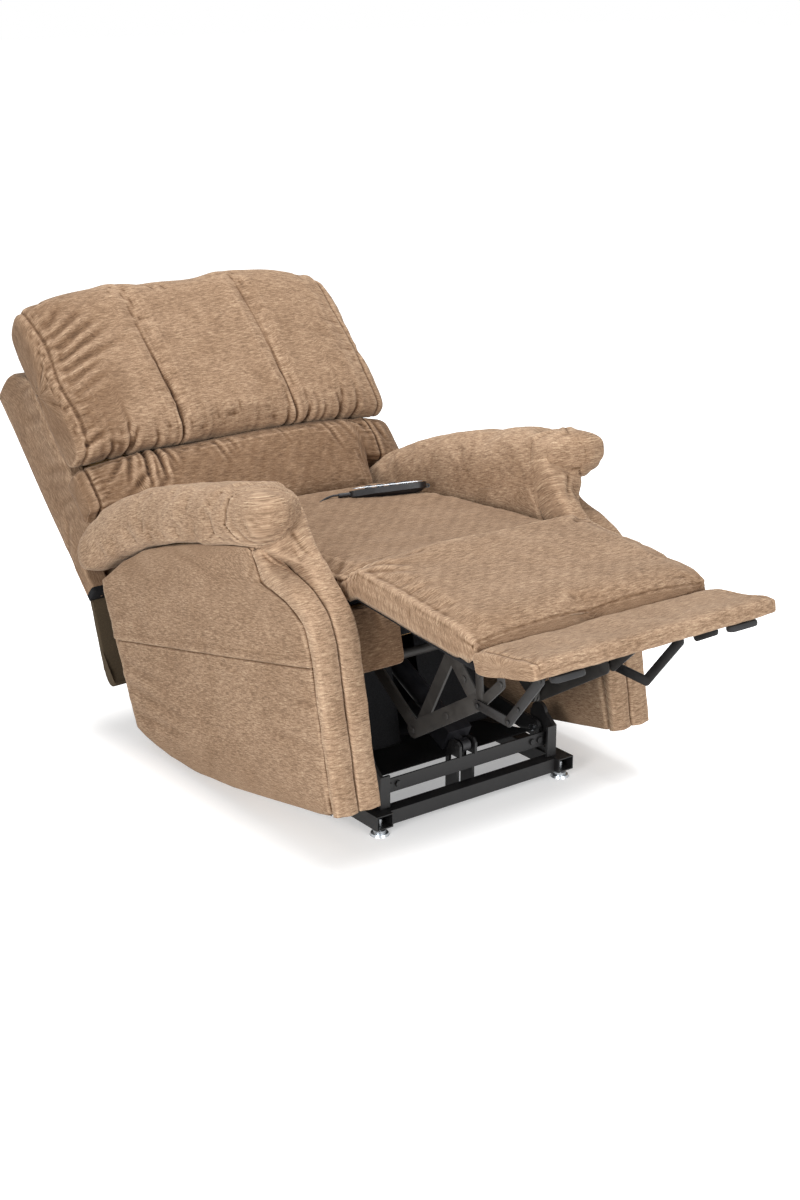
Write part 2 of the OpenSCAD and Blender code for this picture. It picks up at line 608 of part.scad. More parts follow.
module extension_brackets() color(plate_grey) on_extension() each_side() difference() {
  plate(196, 4) polygon([[-22, 2.9], [-130, 2.9], [-128, -4], [-112, -16], [-96, -16], [-84, -4], [-30, -2],
    [-8, 3], [-5, -4], [4, -5], [5, 1], [0, 6], [-6, 8], [-17.9, 8], [-17.9, 2.9]]);
  rod_x(195, 201, 0, 0, 3);
}
module extension_pad() color(fabric) on_extension() difference() {
  skin([for (x = stations(pad_half_w, 14)) let (d = drawn(x, pad_half_w + 3, 6), top = 24 + 12 * d)
    ring([x, -(ext_len + 14) / 2, (ext_len - 14) / 2 * (0.96 + 0.04 * d), (top + 2.5) / 2,
      (top - 2.5) / 2, 0.5], 18)]);
  box([-pad_w / 2 + 19.5, -ext_len + 11.5, -4], [pad_w / 2 - 19.5, -17.5, 13.5]);
  each_side() box([195, -140, -20], [201, 20, 14]);
}

// Parallel braces: the lower pair turns with the footrest, the upper pair stays parallel to the chair
brace_a = [brace_y, brace_z];
brace_f = on_board(brace_s, brace_n);
brace_e = brace_a + brace_f - [rest_y, rest_z];
module lower_braces() color(plate_grey) on_chair() {
  rod_x(-170, 170, brace_a[0], brace_a[1], 10);
  each_side() difference() {
    plate(150, 6) link(brace_a, brace_e, 15);
    rod_x(149, 157, brace_e[0], brace_e[1], 6 + fit);
  }
}
module upper_braces() color(plate_grey) on_chair() each_side() {
  plate(142, 6) link(brace_e, brace_f, 14);
  rod_x(147, 158, brace_e[0], brace_e[1], 6);
  rod_x(147, 158, brace_f[0], brace_f[1], 6);
}

// ---- motors ----

// Local +X runs from the motor's foot to the head of its rod
module on_lift_motor() on_base() translate([0, motor_y, motor_z]) rotate([lift_motor_dir, 0, 0]) children();
lift_head = turn(-body_tilt, [rod_end_y, rod_end_z]);
lift_motor_dir = atan2(lift_head[1] - motor_z, lift_head[0] - motor_y);
lift_motor_len = norm(lift_head - [motor_y, motor_z]);
// Housing along local +Y with an eye at the foot, a motor can beside it, and a bore for the rod
module motor_body(eye_r, tube_r, len_tube, rod_r, x) {
  difference() {
    union() {
      rod_x(x - 10, x + 10, 0, 0, eye_r + 8);
      translate([x, 0, 0]) rotate([-90, 0, 0]) cylinder(r = 9, h = 30);
      box([x - 30, 22, -26], [x + 30, 76, 24]);
      translate([x, 70, 0]) rotate([-90, 0, 0]) cylinder(r = tube_r, h = len_tube - 70);
      translate([x, 74, -tube_r - 12]) rotate([-90, 0, 0]) cylinder(r = 19, h = 90);
    }
    rod_x(x - 40, x + 40, 0, 0, eye_r + fit);
    translate([x, 90, 0]) rotate([-90, 0, 0]) cylinder(r = rod_r + fit, h = len_tube);
  }
}
module motor_rod(rod_r, from, to, eye_r, x) difference() {
  union() {
    translate([x, from, 0]) rotate([-90, 0, 0]) cylinder(r = rod_r, h = to - from - 4);
    rod_x(x - 9, x + 9, to, 0, eye_r + 8);
  }
  rod_x(x - 12, x + 12, to, 0, eye_r);
}
module lift_motor() color(black_plastic) on_lift_motor() motor_body(6, 22, 310, 10, 0);
module lift_motor_rod() color(silver) on_lift_motor() motor_rod(10, 120, lift_motor_len, 8.5, 0);

recline_dir = atan2(head_z - recline_z, head_y - recline_y);
recline_len = norm([head_y - recline_y, head_z - recline_z]);
module on_recline_motor() on_chair() translate([0, recline_y, recline_z])
  rotate([recline_dir, 0, 0]) children();
module recline_motor() color(black_plastic) on_recline_motor() motor_body(5, 17, 190, 8, 90);
module recline_motor_rod() color(silver) on_recline_motor() motor_rod(8, 110, recline_len, 7, 90);

base_runner_left();
base_runner_right();
base_front_bar();
base_rear_bar();
base_cross_angle();
base_posts();
base_bolts();
levelling_feet();
lift_pivot_pins();
lift_motor_bracket();
lift_arm_left();
lift_arm_right();
lift_arm_tube();
side_rail_left();
side_rail_right();
cross_tubes();
chair_pivot_pins();
seat_front_rail();
seat_springs();
seat_cushion();
seat_cheeks();
arm_frame_left();
arm_frame_right();
arm_panel_left();
arm_panel_right();
arm_inner_left();
arm_inner_right();
arm_facing_left();
arm_facing_right();
arm_pad_left();
arm_pad_right();
back_pivot_brackets();
control_box();
power_supply();
handset_case();
handset_face();
button_back_down();
button_back_up();
button_lift_down();
button_lift_up();
cord_relief();
handset_cord();
cord_plug();
back_frame();
back_shell();
lumbar_cushion();
head_cushion();
rear_flap();
footrest_board();
footrest_pad();
footrest_brackets();
extension_board();
extension_pad();
extension_brackets();
lower_braces();
upper_braces();
lift_motor();
lift_motor_rod();
recline_motor();
recline_motor_rod();
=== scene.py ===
"""Lift recliner chair in slub chenille on a powder-coated lift base: its upholstery, finishes and studio."""

import json
import logging
import math
from collections.abc import Callable
from dataclasses import dataclass
from enum import Enum

import bpy
import numpy as np
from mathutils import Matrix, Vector


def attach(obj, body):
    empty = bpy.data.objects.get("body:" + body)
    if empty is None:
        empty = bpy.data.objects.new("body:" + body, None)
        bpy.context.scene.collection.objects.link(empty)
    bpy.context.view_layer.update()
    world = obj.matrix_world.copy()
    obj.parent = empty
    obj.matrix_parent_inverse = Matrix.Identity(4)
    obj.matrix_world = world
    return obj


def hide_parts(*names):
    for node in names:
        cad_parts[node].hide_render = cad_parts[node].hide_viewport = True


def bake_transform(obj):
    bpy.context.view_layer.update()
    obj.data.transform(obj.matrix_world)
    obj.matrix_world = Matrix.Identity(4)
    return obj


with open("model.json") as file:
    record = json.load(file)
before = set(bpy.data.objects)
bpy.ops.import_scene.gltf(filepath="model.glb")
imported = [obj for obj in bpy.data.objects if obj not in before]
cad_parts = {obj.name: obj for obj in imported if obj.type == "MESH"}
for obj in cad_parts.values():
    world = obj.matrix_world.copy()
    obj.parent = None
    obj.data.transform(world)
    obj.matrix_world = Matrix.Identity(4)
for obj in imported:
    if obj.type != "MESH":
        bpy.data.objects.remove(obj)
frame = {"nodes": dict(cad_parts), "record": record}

LOG = logging.getLogger("recliner")
Grid = np.ndarray
Tree = bpy.types.NodeTree
Node = bpy.types.Node
Socket = bpy.types.NodeSocket
Piece = bpy.types.Object
Finish = bpy.types.Material
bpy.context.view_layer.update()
MM = 0.001
TINY = 1e-9


class Fibre(Enum):
    """Which way a cover's yarn runs over its rings."""

    ALONG = "from ring to ring"
    AROUND = "round each ring"


class Side(Enum):
    """The sitter's two sides; the value is the sign of X."""

    LEFT = 1
    RIGHT = -1

    @property
    def label(self) -> str:
        """Its name as it stands in the names of pieces."""
        return self.name.lower()


# ---- working planes ----


@dataclass(frozen=True)
class Plane:
    """A plane of the chair, turned about X: its origin (y, z) in millimetres, its angle in degrees."""

    y: float
    z: float
    angle: float

    def _placed(self, y: float | Grid, z: float | Grid) -> tuple:
        """Places in this plane as the row frame's y and z, in millimetres."""
        c, s = math.cos(math.radians(self.angle)), math.sin(math.radians(self.angle))
        return self.y + y * c - z * s, self.z + y * s + z * c

    def child(self, y: float, z: float, angle: float) -> "Plane":
        """A plane with its origin at y, z of this one, turned further by an angle."""
        return Plane(*self._placed(y, z), self.angle + angle)

    def row(self, points: Grid) -> Grid:
        """Points (x, y, z) of this plane, in millimetres, as row-frame points in metres."""
        return MM * np.stack([points[..., 0], *self._placed(points[..., 1], points[..., 2])], axis=-1)

    def point(self, x: float, y: float, z: float) -> tuple[float, float, float]:
        """One point of this plane in the row frame, in metres."""
        return tuple(float(v) for v in self.row(np.array([x, y, z], float)))


ROW = Plane(0, 0, 0)
CHAIR = Plane(-66, 0, -12.4)
SEAT_IN_CHAIR = (-57, 452, 8)
FOOTREST_IN_CHAIR = (-385, 440, 17.7)
SEAT = CHAIR.child(*SEAT_IN_CHAIR)
BACK = CHAIR.child(487, 402, -34.2)
FOOTREST = CHAIR.child(*FOOTREST_IN_CHAIR)
EXTENSION = FOOTREST.child(-372, -18, -18)

ARM_IN = 301.0
ARM_OUT = 405.0
PANEL_T = 24.0


# ---- shaping helpers ----


def smooth(t: Grid) -> Grid:
    """0 below 0, 1 above 1 and an easy curve between."""
    t = np.clip(t, 0, 1)
    return t * t * (3 - 2 * t)


def bell(distance: Grid, width: float) -> Grid:
    """A bump of height 1 at distance 0, as wide as width."""
    return np.exp(-((distance / width) ** 2))


def drawn(x: Grid, half: float, power: float) -> Grid:
    """How far a section has drawn in at x: 1 in the middle, 0 at the half width."""
    return np.maximum(0, 1 - (np.abs(x) / half) ** power) ** (1 / power)


def across(half: float, count: int) -> Grid:
    """Places over a width, closer together towards both ends."""
    t = np.linspace(-1, 1, count)
    return half * (0.55 * t + 0.45 * np.sin(0.5 * math.pi * t))


def turned(degrees: float, y: float, z: float) -> tuple[float, float]:
    """A side-view vector turned by an angle."""
    t = math.radians(degrees)
    return y * math.cos(t) - z * math.sin(t), y * math.sin(t) + z * math.cos(t)


def oval(centre: tuple, half: tuple, roundness: float) -> Grid:
    """A rounded-rectangle outline.

    Args:
        centre: Its middle (a, b).
        half: Its half sizes.
        roundness: 1 for an ellipse, towards 0 for a rectangle.

    Returns:
        720 points, from the +a side round by +b.
    """
    t = np.linspace(0, 2 * math.pi, 721)[:-1]
    waves = (np.sign(w) * np.abs(w) ** roundness for w in (np.cos(t), np.sin(t)))
    return np.stack([c + r * w for c, r, w in zip(centre, half, waves)], axis=1)


def even(outline: Grid, count: int, closed: bool = True) -> Grid:
    """Points at even spacing along an outline.

    Args:
        outline: Its points, one a row.
        count: How many are wanted.
        closed: Whether it goes back to its start.

    Returns:
        The new points, from the same first one.
    """
    line = np.vstack([outline, outline[:1]]) if closed else np.asarray(outline, float)
    run = np.r_[0, np.cumsum(np.linalg.norm(np.diff(line, axis=0), axis=1))]
    at = np.linspace(0, run[-1], count, endpoint=not closed)
    return np.stack([np.interp(at, run, line[:, i]) for i in range(line.shape[1])], axis=1)


def loop(centre: tuple, half: tuple, roundness: float, count: int) -> Grid:
    """A rounded rectangle about its middle, in evenly spaced points."""
    return even(oval(centre, half, roundness), count)


def between(a: tuple, b: tuple, roundness: float, count: int) -> Grid:
    """A rounded rectangle between two limits on each axis, in evenly spaced points."""
    (a0, a1), (b0, b1) = a, b
    return loop(((a0 + a1) / 2, (b0 + b1) / 2), ((a1 - a0) / 2, (b1 - b0) / 2), roundness, count)


def at(ring: Grid, axis: int, place: float) -> Grid:
    """A flat ring set at one place along an axis, as points (x, y, z)."""
    return np.insert(ring, axis, place, axis=1)


def through(p: Grid, steps: int) -> list:
    """Points of a smooth curve from the second of some points up to the last but one, which is left out.

    Args:
        p: The points; the first and the last only steer it.
        steps: How many points for each stretch.

    Returns:
        The curve's points.
    """
    fine = []
    for i in range(1, len(p) - 2):
        a, b, c, e = p[i - 1 : i + 3]
        for t in np.linspace(0, 1, steps, endpoint=False):
            bend = (2 * a - 5 * b + 4 * c - e) * t**2 + (3 * b - a - 3 * c + e) * t**3
            fine.append(0.5 * (2 * b + (c - a) * t + bend))
    return fine


def curve(points: list, count: int) -> Grid:
    """A smooth curve through points, at even spacing.

    Args:
        points: What it passes through.
        count: How many points are wanted.

    Returns:
        The curve's points.
    """
    p = np.array(points, float)
    p = np.vstack([2 * p[0] - p[1], p, 2 * p[-1] - p[-2]])
    return even(np.array([*through(p, 24), p[-2]]), count, closed=False)


def ripples(points: Grid, wavelength: float, seed: int, stretch: tuple = (1, 1, 1)) -> Grid:
    """Soft unevenness of a filled cover, the same at every run.

    Args:
        points: Where, in millimetres.
        wavelength: From crest to crest, about.
        seed: Which pattern.
        stretch: A smaller number makes the crests longer along that axis.

    Returns:
        Heights of about -1 to 1.
    """
    draw, waves = np.random.default_rng(seed), 12
    total = np.zeros(points.shape[:-1])
    for _ in range(waves):
        way = draw.normal(size=3) * np.array(stretch)
        way /= np.linalg.norm(draw.normal(size=3)) + 0.6
        turns = 2 * math.pi / (wavelength * draw.uniform(0.8, 1.5))
        total += np.sin(points @ way * turns + draw.uniform(0, 2 * math.pi))
    return total / math.sqrt(waves)


def gathers(distance: Grid, along: Grid, reach: float, pitch: float, depth: float, seed: int) -> Grid:
    """Small tucks that stand square to a gathered seam and fade away from it.

    Args:
        distance: From the seam, in millimetres.
        along: Along the seam.
        reach: How far the longest tuck runs.
        pitch: From tuck to tuck.
        depth: How deep they are at the seam.
        seed: Which pattern.

    Returns:
        The relief, in millimetres.
    """
    a, b, c = np.random.default_rng(seed).uniform(0, 6, 3)
    phase = 2 * math.pi * along / pitch
    wave = np.sin(phase + 1.4 * np.sin(phase * 0.31 + a))
    uneven = 0.55 + 0.45 * np.sin(phase * 0.23 + b)
    fade = np.exp(-np.abs(distance) / (reach * (0.45 + 0.55 * np.sin(phase * 0.17 + c) ** 2)))
    return depth * (wave - 0.4) * uneven * fade


def creases(table: tuple | list, p: Grid, q: Grid) -> Grid:
    """Soft creases in a cover: a valley, deepest at its start, with a low ridge on both sides.

    Args:
        table: A row for each: start (p, q), end (p, q), width and depth.
        p: First coordinate of the cover's points.
        q: Second coordinate.

    Returns:
        The relief, in millimetres.
    """
    total = np.zeros(p.shape)
    for p0, q0, p1, q1, w, depth in table:
        dp, dq = p1 - p0, q1 - q0
        length = math.hypot(dp, dq)
        t = ((p - p0) * dp + (q - q0) * dq) / length**2
        side = ((q - q0) * dp - (p - p0) * dq) / length
        window = smooth((t + 0.12) / 0.15) * (1 - smooth((t - 0.35) / 0.65))
        ridges = 0.55 * bell(side - 1.7 * w, 1.1 * w) + 0.35 * bell(side + 1.7 * w, 1.1 * w)
        total += depth * window * (ridges - bell(side, w))
    return total


# ---- sewn skins ----


class Skin:
    """A sewn and filled cover: closed rings of points from end to end, in millimetres of one plane."""

    def __init__(self, rings: list | Grid, bulge: float = 5.0, steps: int = 6) -> None:
        """Takes the rings and closes both ends with a crowned cap.

        Args:
            rings: Points (ring, place on ring, x y z).
            bulge: How far each cap stands out at its middle.
            steps: Rings in each cap.
        """
        rings = np.array(rings)
        self.caps = steps
        first, last = (self._cap(rings[i], rings[j], bulge, steps) for i, j in ((0, 1), (-1, -2)))
        self.rings = np.concatenate([first[::-1], rings, last])

    @staticmethod
    def _cap(ring: Grid, inner: Grid, bulge: float, steps: int) -> Grid:
        """Rings that close one end.

        Args:
            ring: The end ring.
            inner: The ring next to it.
            bulge: How far the cap stands out.
            steps: How many rings.

        Returns:
            The cap's rings, from the end ring's side to the middle.
        """
        middle = ring.mean(axis=0)
        out = middle - inner.mean(axis=0)
        out = out / (np.linalg.norm(out) + TINY)
        shares = [math.cos(0.5 * math.pi * i / (steps + 0.35)) for i in range(1, steps + 1)]
        return np.array([middle + (ring - middle) * f + out * bulge * (1 - f * f) for f in shares])

    def split(self, across_sign: int = 1, along_sign: int = 1) -> tuple[Grid, Grid, Grid]:
        """All x, y and z, the first two with a sign."""
        return self.rings[..., 0] * across_sign, self.rings[..., 1] * along_sign, self.rings[..., 2]

    def normals(self) -> Grid:
        """Outward directions at all points.

        Returns:
            Unit vectors, one a point.
        """
        r = self.rings
        out = np.cross(np.gradient(r, axis=0), np.roll(r, -1, 1) - np.roll(r, 1, 1))
        out /= np.linalg.norm(out, axis=2, keepdims=True) + TINY
        core = r - r.mean(axis=1, keepdims=True)
        inside = slice(self.caps, -self.caps)
        return -out if (out[inside] * core[inside]).sum() < 0 else out

    def push(self, amount: Grid) -> None:
        """Moves every point out by its own amount, in millimetres."""
        self.rings = self.rings + amount[..., None] * self.normals()

    def hollow(self) -> Grid:
        """How hollow the surface is at each point: 0.5 where flat, 1 in a deep seam, 0 on a sharp ridge.

        Returns:
            The values, one a point.
        """
        r, out, n = self.rings, self.normals(), len(self.rings)
        total = np.zeros(r.shape[:2])
        for axis in (0, 1):
            step = np.median(np.linalg.norm(np.diff(r, axis=axis), axis=2))
            k = max(1, int(round(4.5 / step)))
            if axis:
                a, b = np.roll(r, k, 1), np.roll(r, -k, 1)
            else:
                a, b = (r[np.clip(np.arange(n) + by, 0, n - 1)] for by in (-k, k))
            reach = np.linalg.norm(a - r, axis=2) + np.linalg.norm(b - r, axis=2) + 1e-6
            total += ((a + b - 2 * r) * out).sum(axis=2) / reach
        return np.clip(0.5 + 0.5 * total, 0, 1)

    def girth(self) -> Grid:
        """Distance round the middle ring, at its points and back at the first."""
        ring = self.rings[len(self.rings) // 2]
        return np.r_[0, np.cumsum(np.linalg.norm(np.roll(ring, -1, 0) - ring, axis=1))]

    def around(self) -> Grid:
        """The distance round the middle ring for every point of the cover."""
        return np.broadcast_to(self.girth()[:-1], self.rings.shape[:2])

    def run(self) -> Grid:
        """Distance from the middle ring along each line of points.

        Returns:
            The distances, in millimetres.
        """
        step = np.linalg.norm(np.diff(self.rings, axis=0), axis=2)
        total = np.vstack([np.zeros(step.shape[1]), np.cumsum(step, axis=0)])
        return total - total[len(total) // 2]

    def inflate(self, pinned: Grid, pressure: float, cap: float, slack: float) -> None:
        """Args:
            pinned: 0 to 1 for each point; seams are 1.
            pressure: Of the filling.
            cap: The furthest that a point may move, in millimetres.
            slack: Share by which the cloth is cut larger.
        """
        count, wide = self.rings.shape[:2]
        skip, frames, scene = 3, 20, bpy.context.scene
        pick_n = np.r_[np.arange(0, count - 1, skip), count - 1]
        pick_m = np.arange(0, wide, skip)
        coarse = self.rings[np.ix_(pick_n, pick_m)] * MM
        n, m = coarse.shape[:2]
        mesh = _mesh("cover_under_pressure", *_closed(coarse))
        held = bpy.data.objects.new("cover_under_pressure", mesh)
        scene.collection.objects.link(held)
        group = held.vertex_groups.new(name="seams")
        for index, weight in enumerate(np.r_[pinned[np.ix_(pick_n, pick_m)].ravel(), 0, 0]):
            if weight > 0.02:
                group.add([index], float(weight), "REPLACE")
        cloth = held.modifiers.new("Cloth", "CLOTH")
        for key, value in {
            "quality": 4, "vertex_group_mass": "seams", "pin_stiffness": 4, "use_pressure": True,
            "uniform_pressure_force": pressure, "shrink_min": -slack, "bending_stiffness": 0.6,
        }.items():
            setattr(cloth.settings, key, value)
        cloth.settings.effector_weights.gravity = 0
        cloth.point_cache.frame_start, cloth.point_cache.frame_end = 1, frames
        for number in range(1, frames + 1):
            scene.frame_set(number)
        done = held.evaluated_get(bpy.context.evaluated_depsgraph_get()).to_mesh()
        moved = np.zeros(len(done.vertices) * 3)
        done.vertices.foreach_get("co", moved)
        moved = moved.reshape(-1, 3)[: n * m].reshape(n, m, 3)
        scene.frame_set(1)
        bpy.data.objects.remove(held)
        bpy.data.meshes.remove(mesh)
        shift = (moved - coarse) / MM
        shift *= np.minimum(1, cap / (np.linalg.norm(shift, axis=2, keepdims=True) + TINY))
        # back to all points: first along the lines, then round the rings
        shift = np.concatenate([shift, shift[:, :1]], axis=1)
        rows = [[np.interp(np.arange(count), pick_n, shift[:, k, i]) for k in range(m + 1)] for i in range(3)]
        rings, places = np.array(rows), np.r_[pick_m, wide]
        out = [[np.interp(np.arange(wide), places, rings[i, :, j]) for j in range(count)] for i in range(3)]
        self.rings = self.rings + np.stack(np.array(out), axis=-1)

    def make(
        self,
        name: str,
        plane: Plane,
        fibre: Fibre = Fibre.ALONG,
        cap: tuple | None = None,
        painted_shade: float | Grid = 0.0,
    ) -> Piece:
        """Makes the cover's object, with the weave's map on it.

        Args:
            name: The piece's name.
            plane: The working plane that the rings are in.
            fibre: Which way the yarn runs.
            cap: A part cut separately: which points, and their places along and across its yarn, in mm.
            painted_shade: Painted shade added to the hollowness, which the chenille darkens its colour by;
                below 0 it is painted light.

        Returns:
            The Blender object, at the origin.
        """
        rings = plane.row(self.rings)
        n, m = rings.shape[:2]
        points, faces = _closed(rings)
        mesh = bpy.data.meshes.new(name)
        mesh.from_pydata(points.tolist(), [], faces)
        run, girth, pole = self.run() * MM, self.girth() * MM, 4 * MM
        corners = np.zeros(len(mesh.loops), int)
        mesh.loops.foreach_get("vertex_index", corners)
        u = np.r_[run.ravel(), run[0].mean() - pole, run[-1].mean() + pole][corners]
        v = girth[np.where(corners < n * m, corners % m, 0)]
        # the last face of each ring runs on to the full girth, not back to 0
        last = np.arange(m - 1, (n - 1) * m, m)
        for corner in (1, 2):
            v[last * 4 + corner] = girth[m]
        if fibre is Fibre.AROUND:
            u, v = v, u
        if cap is not None:
            flag, along, over = (np.r_[g.ravel(), g[0, 0], g[-1, 0]][corners] for g in cap)
            u, v = np.where(flag, along * MM, u), np.where(flag, over * MM, v)
        mesh.uv_layers.new(name="weave").data.foreach_set("uv", np.stack([u, v], axis=1).ravel())
        # the hollowness plus the piece's painted shade goes to the chenille, which paints shade into the
        # colour from it
        hollow = self.hollow() + painted_shade
        shade = mesh.attributes.new("hollow", "FLOAT", "POINT")
        shade.data.foreach_set("value", np.r_[hollow.ravel(), hollow[0].mean(), hollow[-1].mean()])
        if _volume(points, faces) < 0:
            mesh.flip_normals()
        mesh.polygons.foreach_set("use_smooth", [True] * len(mesh.polygons))
        made = bpy.data.objects.new(name, mesh)
        bpy.context.scene.collection.objects.link(made)
        return made


def _closed(rings: Grid) -> tuple[Grid, list]:
    """Points and faces of rings closed by a fan at each end.

    Args:
        rings: Points (ring, place on ring, x y z).

    Returns:
        All points, the two end points last, and the faces.
    """
    n, m = rings.shape[:2]
    points = np.vstack([rings.reshape(-1, 3), rings[0].mean(axis=0), rings[-1].mean(axis=0)])
    j, k = (g.ravel() for g in np.meshgrid(np.arange(n - 1), np.arange(m), indexing="ij"))
    nxt = (k + 1) % m
    quads = np.stack([j * m + k, j * m + nxt, (j + 1) * m + nxt, (j + 1) * m + k], axis=1)
    k = np.arange(m)
    nxt = (k + 1) % m
    low = np.stack([np.full(m, n * m), nxt, k], axis=1)
    high = np.stack([np.full(m, n * m + 1), (n - 1) * m + k, (n - 1) * m + nxt], axis=1)
    return points, quads.tolist() + low.tolist() + high.tolist()


def _volume(points: Grid, faces: list) -> float:
    """Signed volume of a closed mesh; positive where its faces point outwards.

    Args:
        points: Its points.
        faces: Its faces.

    Returns:
        The volume.
    """
    total = 0.0
    for size in (3, 4):
        some = np.array([f for f in faces if len(f) == size])
        for i in range(1, size - 1):
            a, b, c = points[some[:, 0]], points[some[:, i]], points[some[:, i + 1]]
            total += float((a * np.cross(b, c)).sum())
    return total


def _mesh(name: str, points: Grid, faces: list) -> bpy.types.Mesh:
    """A mesh whose faces point outwards.

    Args:
        name: Its name.
        points: Its points, in metres.
        faces: Its faces.

    Returns:
        The mesh.
    """
    mesh = bpy.data.meshes.new(name)
    mesh.from_pydata(points.tolist(), [], faces)
    if _volume(points, faces) < 0:
        mesh.flip_normals()
    return mesh


# ---- finishes ----


def linear(code: str) -> tuple[float, float, float, float]:
    """An sRGB hex colour, such as "#a98c6b", as linear RGBA."""
    parts = [int(code[i : i + 2], 16) / 255 for i in (1, 3, 5)]
    return (*(c / 12.92 if c <= 0.04045 else ((c + 0.055) / 1.055) ** 2.4 for c in parts), 1.0)


def feed(tree: Tree, node: Node, inputs: dict) -> None:
    """Sets a node's inputs.

    Args:
        tree: The node tree.
        node: The node.
        inputs: By name or number, a constant or the socket that it is linked to.
    """
    for key, value in inputs.items():
        if isinstance(value, Socket):
            tree.links.new(node.inputs[key], value)
        else:
            node.inputs[key].default_value = value


def add(tree: Tree, kind: str, inputs: dict | None = None, **props) -> Node:
    """Adds one node.

    Args:
        tree: The node tree.
        kind: The node's type.
        inputs: Its inputs, as feed takes them.
        props: Settings of the node itself.

    Returns:
        The node.
    """
    made = tree.nodes.new(kind)
    for key, value in props.items():
        setattr(made, key, value)
    feed(tree, made, inputs or {})
    return made


def calc(tree: Tree, operation: str, *terms) -> Socket:
    """The result of a math node on numbers or sockets."""
    return add(tree, "ShaderNodeMath", dict(enumerate(terms)), operation=operation).outputs[0]


def vector(tree: Tree, operation: str, *terms) -> Node:
    """A vector math node on triples or sockets."""
    return add(tree, "ShaderNodeVectorMath", dict(enumerate(terms)), operation=operation)


def noise(
    tree: Tree,
    place: Socket,
    scale: float,
    detail: float,
    roughness: float = 0.5,
    distortion: float = 0.0,
    **props,
) -> Socket:
    """The value of a noise texture.

    Args:
        tree: The node tree.
        place: The socket of its coordinates.
        scale: Repeats in one unit of them.
        detail: How many finer octaves it has.
        roughness: How strong they are.
        distortion: How far it is warped.
        props: Settings of the node itself.

    Returns:
        The socket.
    """
    values = {"Vector": place, "Scale": scale, "Detail": detail}
    values |= {"Roughness": roughness, "Distortion": distortion}
    return add(tree, "ShaderNodeTexNoise", values, **props).outputs[0]


def scaled(tree: Tree, place: Socket, scale: tuple) -> Socket:
    """Coordinates stretched by three factors."""
    return add(tree, "ShaderNodeMapping", {"Vector": place, "Scale": scale}).outputs[0]


def spread(tree: Tree, source: Socket, given: tuple, wanted: tuple, **props) -> Socket:
    """A value's given range laid over a wanted one."""
    return add(tree, "ShaderNodeMapRange", dict(enumerate((source, *given, *wanted))), **props).outputs[0]


def multiply(tree: Tree, share: float, first: Socket, second: Socket) -> Socket:
    """Two colours multiplied, to some share."""
    props = {"data_type": "RGBA", "blend_type": "MULTIPLY"}
    return add(tree, "ShaderNodeMix", {0: share, 6: first, 7: second}, **props).outputs[2]


def ramp(tree: Tree, source: Socket, *stops: tuple[float, str]) -> Socket:
    """Adds a colour ramp.

    Args:
        tree: The node tree.
        source: The socket that drives it.
        stops: Places and sRGB colours.

    Returns:
        Its colour output.
    """
    made = add(tree, "ShaderNodeValToRGB", {0: source})
    bar = made.color_ramp.elements
    while len(bar) < len(stops):
        bar.new(0.5)
    for element, (place, code) in zip(bar, stops):
        element.position, element.color = place, linear(code)
    return made.outputs[0]


def blank(name: str) -> tuple[Finish, Tree, Node, Socket]:
    """A new material with a Principled shader on its output.

    Args:
        name: Its name.

    Returns:
        The material, its node tree, the shader and the socket of the object coordinates.
    """
    made = bpy.data.materials.new(name)
    made.use_nodes = True
    tree = made.node_tree
    tree.nodes.clear()
    shader = add(tree, "ShaderNodeBsdfPrincipled")
    add(tree, "ShaderNodeOutputMaterial", {0: shader.outputs[0]})
    return made, tree, shader, add(tree, "ShaderNodeTexCoord").outputs["Object"]


def bumped(tree: Tree, height: Socket, strength: float, distance: float) -> Socket:
    """The normal of a fine relief, its depth in metres."""
    values = {"Height": height, "Strength": strength, "Distance": distance}
    return add(tree, "ShaderNodeBump", values).outputs[0]


